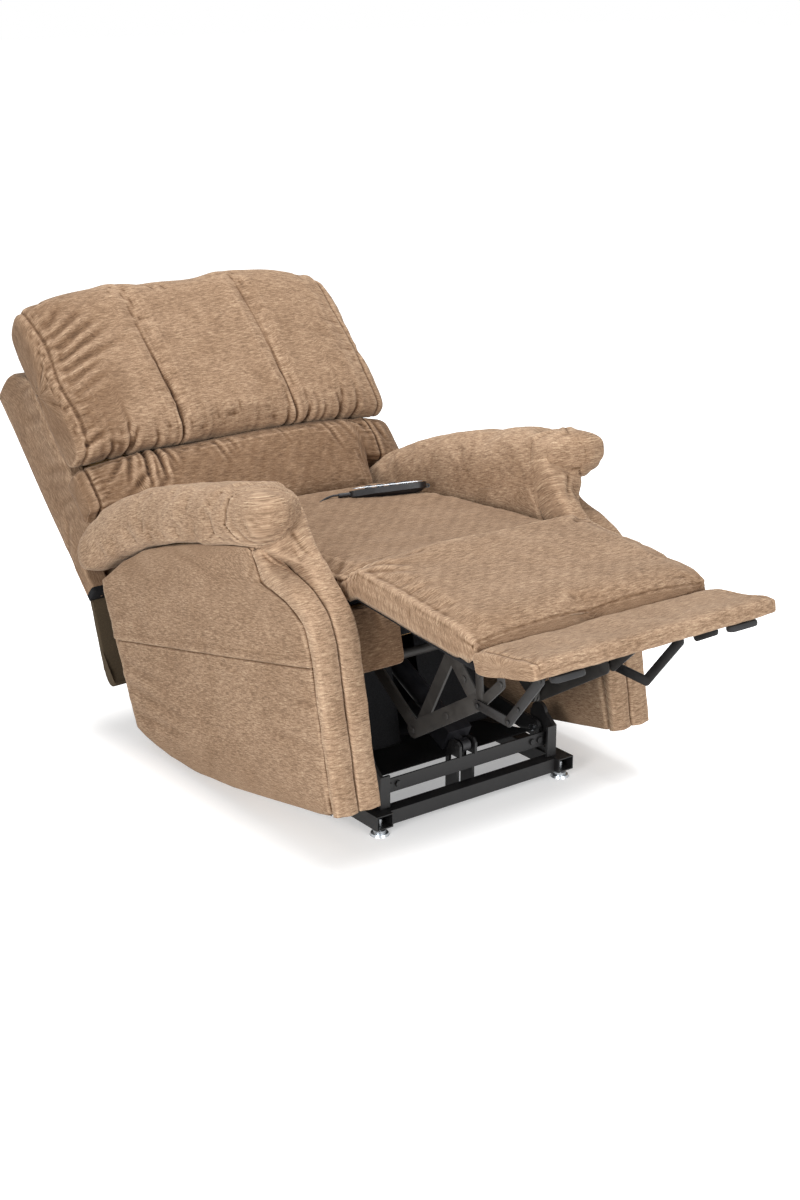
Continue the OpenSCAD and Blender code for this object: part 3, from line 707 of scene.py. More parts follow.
@dataclass(frozen=True)
class Chenille:
    """Chenille woven with slub yarn: tufted pile in uneven dashes along the weft, matt, with a soft bloom."""

    name: str = "slub_chenille_woven"
    deep: str = "#6b5644"
    shade: str = "#967c65"
    body: str = "#b3977d"
    light: str = "#dcc4a6"
    slub_length: float = 17.0
    row: float = 1.9
    tuft: float = 1.0
    row_shift: float = 7.31

    def build(self) -> Finish:
        """Builds the material; the map named weave is in metres along and across the yarn.

        Returns:
            The material.
        """
        made, tree, shader, place = blank(self.name)
        weave = add(tree, "ShaderNodeUVMap", uv_map="weave").outputs[0]
        # rows of weft, each with its own thick and thin places
        rows = scaled(tree, weave, (1000 / self.slub_length, 1000 / self.row, 1))
        along, over, _ = add(tree, "ShaderNodeSeparateXYZ", {0: rows}).outputs
        apart = calc(tree, "MULTIPLY", calc(tree, "FLOOR", over), self.row_shift)
        yarn = add(tree, "ShaderNodeCombineXYZ", {0: along, 1: apart}).outputs[0]
        slub = noise(tree, yarn, 1.0, 3.0, 0.6, noise_dimensions="2D")
        # the shaded gap between two rows
        rise = calc(tree, "PINGPONG", calc(tree, "FRACT", over), 0.5)
        slub = calc(tree, "MULTIPLY_ADD", rise, 0.12, slub)
        # tufts of the pile, three times as long as they are wide
        short = scaled(tree, weave, (1000 / (3 * self.tuft), 1000 / self.tuft, 1))
        tuft = noise(tree, short, 1.0, 2.0, 0.65, noise_dimensions="2D")
        both = add(tree, "ShaderNodeMix", {0: 0.3, 2: slub, 3: tuft}, data_type="FLOAT").outputs[0]
        colour = ramp(tree, both, (0.24, self.deep), (0.43, self.shade), (0.57, self.body), (0.8, self.light))
        # hand marks: the pile lies over in patches 60 mm to 150 mm wide
        patch = noise(tree, place, 11.0, 3.0, 0.55, 0.6)
        tinted = multiply(tree, 0.8, colour, ramp(tree, patch, (0.32, "#e4dfda"), (0.68, "#ffffff")))
        # painted shade: the colour darkens in seams, folds and other hollows, and by each piece's painted
        # shade
        hollow = add(tree, "ShaderNodeAttribute", attribute_name="hollow").outputs["Fac"]
        painted_hollow_shade = ramp(tree, hollow, (0.34, "#ffffff"), (0.5, "#e8e5e2"), (0.64, "#b3a79c"), (0.9, "#5a4c42"))
        height = calc(tree, "MULTIPLY_ADD", tuft, 0.6, slub)
        feed(tree, shader, {
            "Base Color": multiply(tree, 1.0, tinted, painted_hollow_shade), "Normal": bumped(tree, height, 0.4, 0.0008),
            "Roughness": 0.95, "Specular IOR Level": 0.2,
            "Sheen Weight": 0.12, "Sheen Roughness": 0.45, "Sheen Tint": linear("#f0e2d0"),
        })
        return made


@dataclass(frozen=True)
class PowderCoat:
    """Powder coat on mild steel: satin, with faint orange peel and scuffs that lift the black to grey."""

    name: str
    colour: str
    scuff: str
    roughness: float = 0.42

    def build(self) -> Finish:
        """Builds the material, on object coordinates.

        Returns:
            The material.
        """
        made, tree, shader, place = blank(self.name)
        dust = noise(tree, place, 24.0, 5.0, 0.7, 0.5)
        feed(tree, shader, {
            "Base Color": ramp(tree, dust, (0.42, self.colour), (0.78, self.scuff)),
            "Roughness": spread(tree, dust, (0.3, 0.75), (self.roughness, self.roughness + 0.2)),
            "Normal": bumped(tree, noise(tree, place, 520.0, 2.0), 0.35, 0.00025),
        })
        return made


@dataclass(frozen=True)
class ZincPlate:
    """Bright zinc plate on steel: pale, slightly bluish metal with a cloudy, lightly handled surface."""

    name: str = "zinc_plated_steel"
    colour: str = "#c3c7cb"
    dull: str = "#9a9ea3"

    def build(self) -> Finish:
        """Builds the material, on object coordinates.

        Returns:
            The material.
        """
        made, tree, shader, place = blank(self.name)
        cloud = noise(tree, place, 60.0, 4.0, 0.65)
        feed(tree, shader, {
            "Base Color": ramp(tree, cloud, (0.35, self.dull), (0.6, self.colour)),
            "Roughness": spread(tree, cloud, (0.3, 0.7), (0.24, 0.42)), "Metallic": 1.0,
        })
        return made


@dataclass(frozen=True)
class SawnTimber:
    """Sawn softwood and plywood, unfinished: straight grain in pale bands, matt and slightly furry."""

    name: str = "sawn_softwood"
    early: str = "#cfa873"
    late: str = "#9d7443"

    def build(self) -> Finish:
        """Builds the material, on object coordinates; growth bands are 7 mm apart.

        Returns:
            The material.
        """
        made, tree, shader, place = blank(self.name)
        grain = noise(tree, scaled(tree, place, (9, 9, 140)), 1.0, 4.0, 0.6, 0.8)
        feed(tree, shader, {
            "Base Color": ramp(tree, grain, (0.35, self.late), (0.62, self.early)),
            "Roughness": 0.78, "Normal": bumped(tree, grain, 0.4, 0.0006),
        })
        return made


@dataclass(frozen=True)
class Moulding:
    """Injection-moulded plastic or rubber with a fine spark-eroded grain, which breaks up its gloss."""

    name: str
    colour: str
    bloom: str
    roughness: float
    grain: float = 0.9
    metallic: float = 0.0

    def build(self) -> Finish:
        """Builds the material, on object coordinates; the grain is in millimetres.

        Returns:
            The material.
        """
        made, tree, shader, place = blank(self.name)
        wide = noise(tree, place, 30.0, 3.0)
        feed(tree, shader, {
            "Base Color": ramp(tree, wide, (0.4, self.colour), (0.75, self.bloom)),
            "Roughness": spread(tree, wide, (0.3, 0.7), (self.roughness - 0.06, self.roughness + 0.08)),
            "Normal": bumped(tree, noise(tree, place, 1000 / self.grain, 2.0), 0.3, 0.00012),
            "Metallic": self.metallic,
        })
        return made


@dataclass(frozen=True)
class SpunFelt:
    """Thin matt cloth with loose fibres that break up its flat colour; black for dust cloth, and dark brown
    for the rear flap, where the dark is painted shade.
    """

    name: str = "spunbond_dust_cloth"
    colour: str = "#131314"
    fibre: str = "#29292b"

    def build(self) -> Finish:
        """Builds the material, on object coordinates; fibres are 2 mm apart.

        Returns:
            The material.
        """
        made, tree, shader, place = blank(self.name)
        fuzz = noise(tree, place, 500.0, 4.0, 0.8)
        feed(tree, shader, {
            "Base Color": ramp(tree, fuzz, (0.4, self.colour), (0.75, self.fibre)),
            "Normal": bumped(tree, fuzz, 0.5, 0.0004), "Roughness": 0.9, "Specular IOR Level": 0.15,
        })
        return made


class Wardrobe:
    """All finishes of the chair, each built once."""

    def __init__(self) -> None:
        """Builds every finish."""
        self.cover = Chenille().build()
        self.black_steel = PowderCoat("black_powder_coat", "#0c0b0c", "#1a1919").build()
        self.grey_steel = PowderCoat("grey_powder_coat", "#262422", "#35322f", 0.46).build()
        self.zinc = ZincPlate().build()
        self.timber = SawnTimber().build()
        self.black_plastic = Moulding("moulded_abs_black", "#141417", "#1e1e22", 0.42).build()
        self.silver = Moulding("painted_abs_silver", "#b9bdc3", "#c8ccd2", 0.3, 0.4, 0.6).build()
        self.rubber = Moulding("silicone_keypad_grey", "#3a3b3f", "#484a4e", 0.62).build()
        self.rubber_black = Moulding("moulded_rubber_black", "#101012", "#1a1a1c", 0.7).build()
        self.jacket = Moulding("pvc_cord_jacket", "#121214", "#1c1c1f", 0.5).build()
        self.felt = SpunFelt().build()
        # dark brown cloth for the rear flap: painted shade for the shadow that the flap hangs in
        self.flap_shade_cloth = SpunFelt("flap_cloth_painted_shade", "#453b2e", "#5a4e3e").build()

    def by_slot(self) -> dict:
        """The finish of each of the record's material slots.

        Returns:
            Materials by slot.
        """
        return {
            "fabric": self.cover, "black_steel": self.black_steel, "grey_steel": self.grey_steel,
            "bright_steel": self.zinc, "timber": self.timber, "black_plastic": self.black_plastic,
            "silver_plastic": self.silver, "button_rubber": self.rubber, "cord_jacket": self.jacket,
        }


def dress(
    made: Piece,
    material: Finish,
    body: str | None,
    nodes: tuple = (),
) -> None:
    """Gives a piece its finish and its place in the model.

    Args:
        made: The piece.
        material: Its finish.
        body: The body that it rides on; None where it is blended.
        nodes: CAD nodes that it stands for.
    """
    if not made.data.materials:
        made.data.materials.append(material)
    if body:
        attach(made, body)
    if nodes:
        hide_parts(*nodes)
    LOG.info("%s: %d faces, %s", made.name, len(made.data.polygons), body or "blended")


def felted(made: Piece, wardrobe: Wardrobe, felt: Grid) -> None:
    """Covers a piece in chenille, and in felt on some of its first faces.

    Args:
        made: The piece.
        wardrobe: The finishes.
        felt: For each of the first faces, whether it is felt.
    """
    for finish in (wardrobe.cover, wardrobe.felt):
        made.data.materials.append(finish)
    index = np.zeros(len(made.data.polygons), np.int32)
    index[: felt.size] = felt.ravel()
    made.data.polygons.foreach_set("material_index", index)


# ---- the handset's cord ----


@dataclass
class HandsetCord:
    """The handset's cord: over the seat, down between the seat and an arm, and back to the control box."""

    diameter: float = 5.0
    handset: tuple[float, float, float] = (177.0, 183.0, 81.73)
    turn: float = -18.0
    relief_end: float = -113.0
    line: tuple = (
        (40, 222, 76), (16, 212, 72), (-6, 197, 68.6), (-30, 178, 66.2), (-56, 156, 65.2), (-82, 134, 64.7),
        (-110, 113, 64.2), (-138, 94, 63.7), (-166, 78, 63), (-194, 65, 62), (-220, 56, 61), (-243, 51, 60),
        (-262, 48, 58.8), (-277, 46, 57), (-288.5, 45, 53.5), (-293.5, 45, 45), (-294.5, 46, 32),
        (-294.5, 50, 8), (-294, 60, -16), (-292, 76, -39), (-289, 95, -61), (-285, 117, -83),
        (-281, 139, -105), (-277, 161, -128), (-273, 183, -151), (-270, 204, -173), (-267, 223, -194),
        (-262, 240, -211), (-252, 252, -219.5), (-240, 258, -222),
    )
    plug: tuple[float, float] = (230.0, 268.0)

    def route(self) -> Grid:
        """The centreline in the seat's plane, in millimetres.

        Returns:
            Its points.
        """
        ends = []
        for x in (self.relief_end, self.relief_end - 12):
            dx, dy = turned(self.turn, x, 0)
            ends.append((self.handset[0] + dx, self.handset[1] + dy, self.handset[2] - 3))
        y, z, slope = SEAT_IN_CHAIR
        plug = turned(-slope, self.plug[0] - y, self.plug[1] - z)
        return np.array([*ends, *self.line, (-232, *plug), (-222, *plug)], float)

    def build(self, wardrobe: Wardrobe) -> None:
        """Args:
            wardrobe: The finishes.
        """
        p = self.route()
        line = SEAT.row(np.array([p[0], *through(p, 4), p[-2], p[-1]]))
        data = bpy.data.curves.new("handset_lead", "CURVE")
        data.dimensions = "3D"
        data.bevel_depth = self.diameter / 2 * MM
        data.bevel_resolution = 4
        data.use_fill_caps = True
        spline = data.splines.new("POLY")
        spline.points.add(len(line) - 1)
        spline.points.foreach_set("co", np.hstack([line, np.ones((len(line), 1))]).ravel())
        made = bpy.data.objects.new("handset_lead", data)
        bpy.context.scene.collection.objects.link(made)
        data.materials.append(wardrobe.jacket)
        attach(made, "chair")
        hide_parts("handset_cord")


# ---- back ----


@dataclass
class HeadCushion:
    """The large upper cushion: full over the shoulders, two sewn channels, gathered into its end seams."""

    width: float = 850.0
    channel: float = 152.0
    end_seam: float = 391.0
    rings: int = 210
    points: int = 168
    # where its lower edge is pinched, and how deep
    pinches: tuple = ((-284, 13), (-330, 5), (130, 6), (184, 8), (287, 11), (330, 6), (-60, 3))
    # long pulls that fan out from the near end's seam
    pulls: tuple = (
        (-366, 512, -254, 590, 9, 3.2), (-362, 486, -226, 560, 10, 5.2), (-370, 452, -214, 530, 9, 4.2),
        (-368, 425, -186, 488, 11, 5.6), (-374, 392, -236, 456, 9, 3.8), (-372, 358, -280, 402, 10, 3),
        (-372, 540, -300, 616, 10, 2.4), (-370, 467, -300, 512, 6, 1.8),
    )
    # creases over the lower edge
    tucks: tuple = (
        (-284, 214, -262, 262, 7, 7), (-300, 222, -352, 240, 8, 6), (130, 212, 126, 250, 6, 3),
        (184, 214, 198, 256, 6, 4), (287, 212, 268, 268, 7, 6), (230, 214, 238, 246, 6, 2.5),
        (-152, 214, -150, 290, 5, 7), (152, 214, 150, 280, 5, 6), (-390, 240, -330, 262, 8, 5),
        (-215, 214, -222, 250, 6, 4),
    )

    def build(self, wardrobe: Wardrobe) -> None:
        """Makes and dresses the cushion.

        Args:
            wardrobe: The finishes.
        """
        half = self.width / 2 - 12
        rows = []
        for x in across(half, self.rings):
            d, top_d = drawn(x, half + 5, 4.2), drawn(x, half + 5, 3)
            front, rear = 228 + 58 * d, 178 - 2 * d
            top, low = 560 + 100 * top_d, 246 - 27 * drawn(x, half + 5, 9)
            for place, deep in self.pinches:
                low = low + deep * bell(x - place, 8)
            rows.append(at(between((-front, -rear), (low, top), 0.52, self.points), 0, x))
        skin = Skin(rows, bulge=7)
        x, n, u = skin.split(1, -1)
        front = smooth((n - 205) / 40)
        seam = bell(np.abs(x) - self.channel, 7)
        held = np.clip(0.35 * seam * front + bell(np.abs(x) - self.end_seam, 6), 0, 1) ** 0.5
        skin.inflate(held, 2.6, 8, 0.015)
        soft = smooth((u - 300) / 240)
        for side, strong in ((-1, 1.0), (1, 0.4)):
            away = x - side * (self.channel + 4 * np.sin(u / 60))
            groove = -front * (1 - 0.88 * soft) * 7.5 * bell(away, 7)
            groove -= front * (1 - soft) * 5 * bell(away, 2.6)
            rolls = bell(away - side * 26, 26) + bell(away + side * 26, 24)
            skin.push(strong * groove + front * 2.2 * rolls)
        skin.push(self._end_seams(skin))
        x, n, u = skin.split(1, -1)
        far = [(-a, b - 14, 30 - c, d - 22, 1.6 * w, 0.22 * deep) for a, b, c, d, w, deep in self.pulls]
        relief = front * creases([*self.pulls, *far, *self.tucks], x, u)
        near_low = np.exp(-np.maximum(0, u - 232) / 34) * front
        relief += gathers(np.ones(x.shape), x, 30, 31, 1.3, 5) * near_low
        relief += 1.6 * ripples(skin.rings, 190, 3) + 0.45 * ripples(skin.rings, 46, 4, (0.6, 1, 1))
        skin.push(relief)
        x, _, u = skin.split()
        # painted shade over the cushion, deeper towards its near end and less along its lower edge
        painted_shade = 0.035 + 0.07 * smooth((-210 - x) / 110) - 0.02 * smooth((300 - u) / 80)
        made = skin.make("head_pillow", BACK, painted_shade=painted_shade)
        dress(made, wardrobe.cover, "back", ("head_cushion",))

    def _end_seams(self, skin: Skin) -> Grid:
        """The seam where each end's gusset joins the front, with its rolled edge and its gathers.

        Args:
            skin: The cushion's cover.

        Returns:
            The relief, in millimetres.
        """
        x, n, _ = skin.split(1, -1)
        girth = skin.around()
        away = self.end_seam + 4 * np.sin(girth / 37) - np.abs(x)
        groove = -3.6 * bell(away, 4.6) + 1.8 * bell(away - 13, 9) + 1.6 * bell(away + 10, 8)
        inner = smooth(away / 6)
        tucks = gathers(away - 12, girth, 95, 33, 0.8, 11) * inner * np.where(x < 0, 1.0, 0.4)
        ends = gathers(away, girth, 30, 26, 0.6, 12) * (1 - inner)
        return (groove + tucks + ends) * (0.35 + 0.65 * smooth((n - 190) / 50))


@dataclass
class LumbarCushion:
    """The lower back cushion: over the arms at both ends, drawn in between them, and pleated."""

    width: float = 850.0
    rear: float = 158.0
    seams: tuple[float, float] = (398.0, 352.0)
    rings: int = 200
    points: int = 132
    # pleats under the head cushion and pulls towards the arms: near end, far end, middle
    folds: tuple = (
        (-256, 212, -284, 90, 6, 9), (-226, 212, -238, 104, 6, 8), (-292, 208, -330, 120, 7, 5),
        (-318, 202, -372, 140, 8, 4), (-206, 208, -196, 140, 6, 3), (-276, 150, -352, 96, 8, 4),
        (-240, 128, -300, 60, 8, 3.4),
        (222, 200, 240, 106, 6, 2.2), (262, 202, 292, 120, 8, 2), (330, 190, 352, 80, 9, 2.5),
        (372, 186, 388, 130, 7, 4),
        (-79, 205, -66, 130, 6, 2.6), (-40, 206, -34, 150, 6, 1.8), (96, 206, 104, 150, 6, 1.6),
    )

    def build(self, wardrobe: Wardrobe) -> None:
        """Makes and dresses the cushion.

        Args:
            wardrobe: The finishes.
        """
        half = self.width / 2 - 3
        rows = []
        for x in across(half, self.rings):
            d = drawn(x, half + 8, 3.0)
            w = float(smooth((np.abs(x) - 280) / 30))
            low = (100 - 6 * float(smooth((x - 300) / 60))) * w + 8 * (1 - d)
            top, front = 222 - 30 * (1 - d), 190 + 55 * d - 5 * w
            ring = between((-front, -self.rear), (low, top), 0.42, self.points)
            rear_share = smooth((front - 20 + ring[:, 0]) / 50) * smooth((low + 70 - ring[:, 1]) / 60)
            ring[:, 1] -= 16 * w * rear_share
            rows.append(at(ring, 0, x))
        skin = Skin(rows, bulge=6)
        x, n, u = skin.split(1, -1)
        skin.inflate(np.clip(bell(np.abs(x) - 408, 6) + bell(u - 214, 8), 0, 1) ** 0.5, 2.2, 7, 0.01)
        away = np.where(x < 0, *self.seams) - np.abs(x)
        relief = -4.5 * bell(away, 3.2) + 2 * bell(away - 10, 8) + 2 * bell(away + 9, 7)
        relief += gathers(away, skin.around(), 55, 24, 1.8, 21) * smooth(away / 6)
        relief += creases(self.folds, x, u) * smooth((n - 185) / 35)
        relief += 1.5 * ripples(skin.rings, 160, 23) + 0.5 * ripples(skin.rings, 42, 24)
        skin.push(relief)
        # painted shade over the whole cushion, for the shade under the head cushion
        made = skin.make("lumbar_pillow", BACK, painted_shade=0.12)
        dress(made, wardrobe.cover, "back", ("lumbar_cushion",))


@dataclass
class BackShell:
    """The upholstered shell behind the cushions: two wings with felt feet, a rear panel and a top."""

    width: float = 816.0
    wing: float = 46.0
    height: float = 554.0
    # how far forward a wing reaches, by height
    front_u: tuple = (-10, 78, 84, 92, 103, 300, 470, 505, 550, 556)
    front_n: tuple = (42, 42, 84, 116, 157, 160, 172, 150, 103, 70)
    folds: tuple = (
        (160, 250, 40, 320, 12, 2.4), (158, 180, 30, 220, 12, 2.0), (150, 400, 60, 440, 14, 2.2),
        (20, 120, 90, 190, 10, 1.8), (168, 470, 90, 500, 8, 1.8),
    )

    def build(self, wardrobe: Wardrobe) -> None:
        """Makes and dresses the shell's four pieces.

        Args:
            wardrobe: The finishes.
        """
        made = [self._wing(side, wardrobe) for side in Side] + [self._rear(), self._top()]
        for i, piece in enumerate(made):
            dress(piece, wardrobe.cover, "back", ("back_shell",) if i == 0 else ())

    def _wing(self, side: Side, wardrobe: Wardrobe) -> Piece:
        """One side wing, with its felt foot.

        Args:
            side: Which side.
            wardrobe: The finishes.

        Returns:
            Its piece.
        """
        outer = self.width / 2
        mid, count = outer - self.wing / 2, 104
        spans = ((-8, 76, 20), (79, 104, 18), (110, 460, 60), (466, 552, 26))
        rows = []
        for u in np.concatenate([np.linspace(*span) for span in spans]):
            reach = float(np.interp(float(u), self.front_u, self.front_n))
            ring = loop((mid * side.value, -(reach + 3) / 2), (self.wing / 2, (reach - 3) / 2), 0.22, count)
            rows.append(at(ring, 2, u))
        skin = Skin(rows, bulge=3, steps=5)
        x, n, u = skin.split(side.value, -1)
        outside = smooth((x - (outer - 12)) / 8)
        crown = 1.6 * np.sin(np.clip(u / self.height, 0, 1) * math.pi)
        relief = crown + 1.4 * ripples(skin.rings, 120, 31, (1, 1.6, 0.5)) + creases(self.folds, n, u)
        skin.push(outside * (relief - 2.2 * bell(n - 12, 2.6)))
        # painted shade over the wing
        made = skin.make(f"back_wing_{side.label}", BACK, painted_shade=0.07)
        z = skin.rings[..., 2]
        felted(made, wardrobe, np.ones(int((z.max(axis=1) < z.min() + 12).sum()) * count))
        return made

    def _rear(self) -> Piece:
        """The rear panel, sewn from a middle and two side widths.

        Returns:
            The panel.
        """
        half = self.width / 2 - 2
        rows = []
        for u in np.linspace(-7, self.height - 9, 120):
            pull = 4 * float(bell(u + 7, 30))
            rows.append(at(loop((0, -10.5), (half - pull * 0.3, 10.0), 0.08, 240), 2, u))
        skin = Skin(rows, bulge=2, steps=4)
        x, n, u = skin.split(1, -1)
        crown = -3.5 + 2.6 * drawn(x, half, 4) * np.sin(math.pi * np.clip(u / 546, 0, 1)) ** 0.5
        relief = crown + 0.8 * ripples(skin.rings, 190, 41)
        relief += 1.2 * bell(np.abs(x) - 262, 8) - 2.6 * bell(np.abs(x) - 268, 2.6)
        relief += -2.2 * bell(u - 24, 2.4) - 1.4 * bell(np.abs(x) - (half - 14), 3)
        relief += gathers(u - 24, x, 24, 38, 1.0, 43) * (u > 24)
        skin.push(smooth((9 - n) / 6) * relief)
        return skin.make("back_rear_panel", BACK, Fibre.AROUND)

    def _top(self) -> Piece:
        """The top panel between the wings.

        Returns:
            The panel.
        """
        half = self.width / 2 - self.wing - 1
        ring = loop((-86, self.height - 30), (62, 18), 0.3, 64)
        skin = Skin([at(ring, 0, x) for x in np.linspace(-half, half, 60)], bulge=0.5, steps=2)
        skin.push(1.0 * ripples(skin.rings, 120, 44) - 0.6)
        return skin.make("back_top_panel", BACK)


@dataclass
class RearFlap:
    """The loose flap that hangs from the back's lower edge and turns in at its hem."""

    half: float = 403.0
    points: int = 150
    outline: tuple = (
        (486, 399), (481, 344), (476, 304), (472, 272), (467, 240), (462, 226), (455, 214), (447, 207),
        (437, 204), (429, 206), (424, 212), (430, 214), (437, 219), (446, 230), (453, 250), (458, 278),
        (462, 306), (467, 345), (472, 399),
    )

    def build(self, wardrobe: Wardrobe) -> None:
        """Makes and dresses the flap.

        Args:
            wardrobe: The finishes.
        """
        ring = even(np.array(self.outline, float), self.points)
        hang = np.clip((384 - ring[:, 1]) / 180, 0, 1)
        rows = []
        for x in across(self.half, self.points):
            wave = 2.6 * math.sin(x / 58) + 1.8 * math.sin(x / 31 + 1) + 1.2 * math.sin(x / 97)
            swayed = np.column_stack([ring[:, 0] + wave * hang, ring[:, 1] + 1.5 * math.sin(x / 120)])
            rows.append(at(swayed, 0, x))
        skin = Skin(rows, bulge=1.5, steps=3)
        z = skin.rings[..., 2]
        relief = -1.6 * bell(z - 236, 2.2) + 0.8 * bell(z - 243, 5) - 1.2 * bell(z - 372, 2.2)
        skin.push(relief + 0.5 * ripples(skin.rings, 60, 51))
        # the flap's dark brown cloth is painted shade
        dress(skin.make("rear_skirt", CHAIR), wardrobe.flap_shade_cloth, "flap", ("rear_flap",))


# ---- seat and footrest ----


@dataclass
class ChaisePad:
    """One padded cover from the seat's back to the footrest's front edge, with a boxed side band."""

    seat_back: float = 320.0
    seat_half: float = 287.0
    seat_thick: float = 31.0
    seat_rows: int = 118
    foot_half: float = 293.0
    foot_end: float = 369.0
    foot_thick: float = 28.5
    foot_rows: int = 92
    bridge_rows: int = 12
    points: int = 208
    # long pulls over the pad from its hinge line and its corners
    folds: tuple = (
        (-288, 20, -180, 96, 9, 3.6), (-286, -16, -150, -40, 10, 3.2), (-284, 44, -200, 130, 9, 2.6),
        (288, 22, 190, 90, 9, 3.0), (286, -14, 160, -46, 10, 2.8), (-250, -4, -60, 6, 12, 1.8),
        (-284, -60, -190, -120, 10, 2.2), (284, -60, 200, -110, 10, 2.0),
        (-276, -420, -170, -330, 14, 2.4), (276, -420, 180, -340, 14, 2.4),
    )

    def _line(self) -> tuple[Grid, Grid, Grid, Grid]:
        """The pad's middle line, its up directions and its half sizes.

        Returns:
            Middle points (y, z), directions (y, z), half thickness and half width, one row a station.
        """
        rows = []
        y, z, slope = SEAT_IN_CHAIR
        for v in np.linspace(self.seat_back, -286, self.seat_rows):
            end = float(drawn(v - 7, 315.5, 22)) if v > 0 else 1.0
            dy, dz = turned(slope, v, self.seat_thick)
            size = self.seat_thick * (0.62 + 0.38 * end), self.seat_half * (0.985 + 0.015 * end)
            rows.append((y + dy, z + dz, slope, *size))
        y, z, slope = FOOTREST_IN_CHAIR
        for s in np.linspace(22, self.foot_end, self.foot_rows):
            thick = self.foot_thick * (0.5 + 0.5 * float(drawn(max(0.0, s - 280), 91.0, 2.3)))
            half = self.foot_half * (0.955 + 0.045 * float(drawn(max(0.0, s - 250), 121.0, 3.2)))
            dy, dz = turned(slope, -s, thick + 0.5)
            rows.append((y + dy, z + dz, slope, thick, half))
        a, b = rows[self.seat_rows - 1 : self.seat_rows + 1]
        bridge = []
        for t in np.linspace(0, 1, self.bridge_rows + 2)[1:-1]:
            e = t * t * (3 - 2 * t)
            bridge.append(tuple(a[i] + (b[i] - a[i]) * (e if i else t) for i in range(5)))
        line = np.array(rows[: self.seat_rows] + bridge + rows[self.seat_rows :])
        turn = np.radians(line[:, 2])
        return line[:, :2], np.stack([-np.sin(turn), np.cos(turn)], axis=1), line[:, 3], line[:, 4]

    def _skin(self, middle: Grid, up: Grid, thick: Grid, half: Grid) -> Skin:
        """The pad's cover before it is filled.

        Args:
            middle: Points of its middle line (y, z).
            up: Its up directions.
            thick: Its half thicknesses.
            half: Its half widths.

        Returns:
            The skin.
        """
        rows = []
        for i, (m, way, t, h) in enumerate(zip(middle, up, thick, half)):
            ring = np.roll(loop((0, 0), (h, t), 0.24, self.points), self.points // 4, axis=0)
            share = float(smooth((i - self.seat_rows + 4) / 10))
            ring[:, 0] *= 1 - (0.055 - 0.045 * share) * smooth((-0.15 * t - ring[:, 1]) / (0.8 * t))
            crown = 1 + 0.16 * drawn(ring[:, 0], h + 1, 2.4) * (ring[:, 1] > 0)
            offset = ring[:, 1] * crown - 0.07 * t
            # a lip beside the footrest's board
            beside, under = smooth((np.abs(ring[:, 0]) - 281) / 4), smooth((-ring[:, 1] / t - 0.4) / 0.5)
            offset -= 15 * share * beside * under
            rows.append(np.column_stack([ring[:, 0], m[0] + way[0] * offset, m[1] + way[1] * offset]))
        return Skin(rows, bulge=3, steps=6)

    def build(self, wardrobe: Wardrobe) -> None:
        """Makes and dresses the pad.

        Args:
            wardrobe: The finishes.
        """
        middle, up, thick, half = self._line()
        skin = self._skin(middle, up, thick, half)
        middle, up, thick = (
            np.concatenate([np.repeat(g[:1], skin.caps, 0), g, np.repeat(g[-1:], skin.caps, 0)])
            for g in (middle, up, thick)
        )
        travel = np.r_[0, np.cumsum(np.linalg.norm(np.diff(middle, axis=0), axis=1))]
        hinge = travel[skin.caps + self.seat_rows + self.bridge_rows // 2]
        along = np.broadcast_to((travel - hinge)[:, None], skin.rings.shape[:2])
        x = skin.rings[..., 0]
        w = ((skin.rings[..., 1:] - middle[:, None, :]) * up[:, None, :]).sum(axis=2)
        side = thick[:, None]
        upper = smooth((w + 0.1 * side) / (0.5 * side))
        hold = bell(w - 0.55 * side, 6) * smooth((np.abs(x) - 262) / 14) + (w < -0.6 * side)
        skin.inflate(np.clip(hold, 0, 1), 2.2, 7, 0.01)
        edge = np.where(along < 0, self.seat_half, self.foot_half)
        top = smooth((w - 0.35 * side) / (0.4 * side))
        past = np.abs(x) - edge
        relief = -3.4 * bell(w - 0.52 * side, 2.6) * smooth((past + 16) / 8)
        relief += 2.6 * bell(w - 0.74 * side, 4.0) * smooth((past + 20) / 8)
        relief += top * (-3.5 * bell(along - 4, 24) - 1.2 * bell(along - 2, 6))
        relief += top * (1.5 * bell(along - 46, 28) + 1.5 * bell(along + 44, 28))
        for sign, deep in ((-1, 1.0), (1, 0.8)):
            which = (x * sign > 0) * deep
            relief += which * upper * bell(along - 2, 46) * gathers(-past, along, 44, 15, 5.2, 61 + sign)
        front = along[-1].max() - along
        pulled = creases(self.folds, x, along) + 1.2 * bell(front - 60, 30)
        relief += top * pulled - 3.0 * bell(front - 3, 2.6) * upper
        relief += top * (1.9 * ripples(skin.rings, 160, 63) + 0.7 * ripples(skin.rings, 44, 64))
        relief += (1 - upper) * 0.9 * ripples(skin.rings, 70, 65) * smooth((past + 14) / 8)
        skin.push(relief)
        # painted shade over the pad, deeper over the seat behind the hinge
        made = skin.make("chaise_pad", CHAIR, Fibre.AROUND, painted_shade=0.03 + 0.03 * smooth((20 - along) / 120))
        felted(made, wardrobe, (w[:-1] < -0.66 * side[:-1]) & (np.abs(x[:-1]) < 279))
        CHAIR.point(0, -346, 462)
        CHAIR.point(0, -424, 470)
        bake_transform(made)
        dress(made, wardrobe.cover, None, ("seat_cushion", "footrest_pad"))


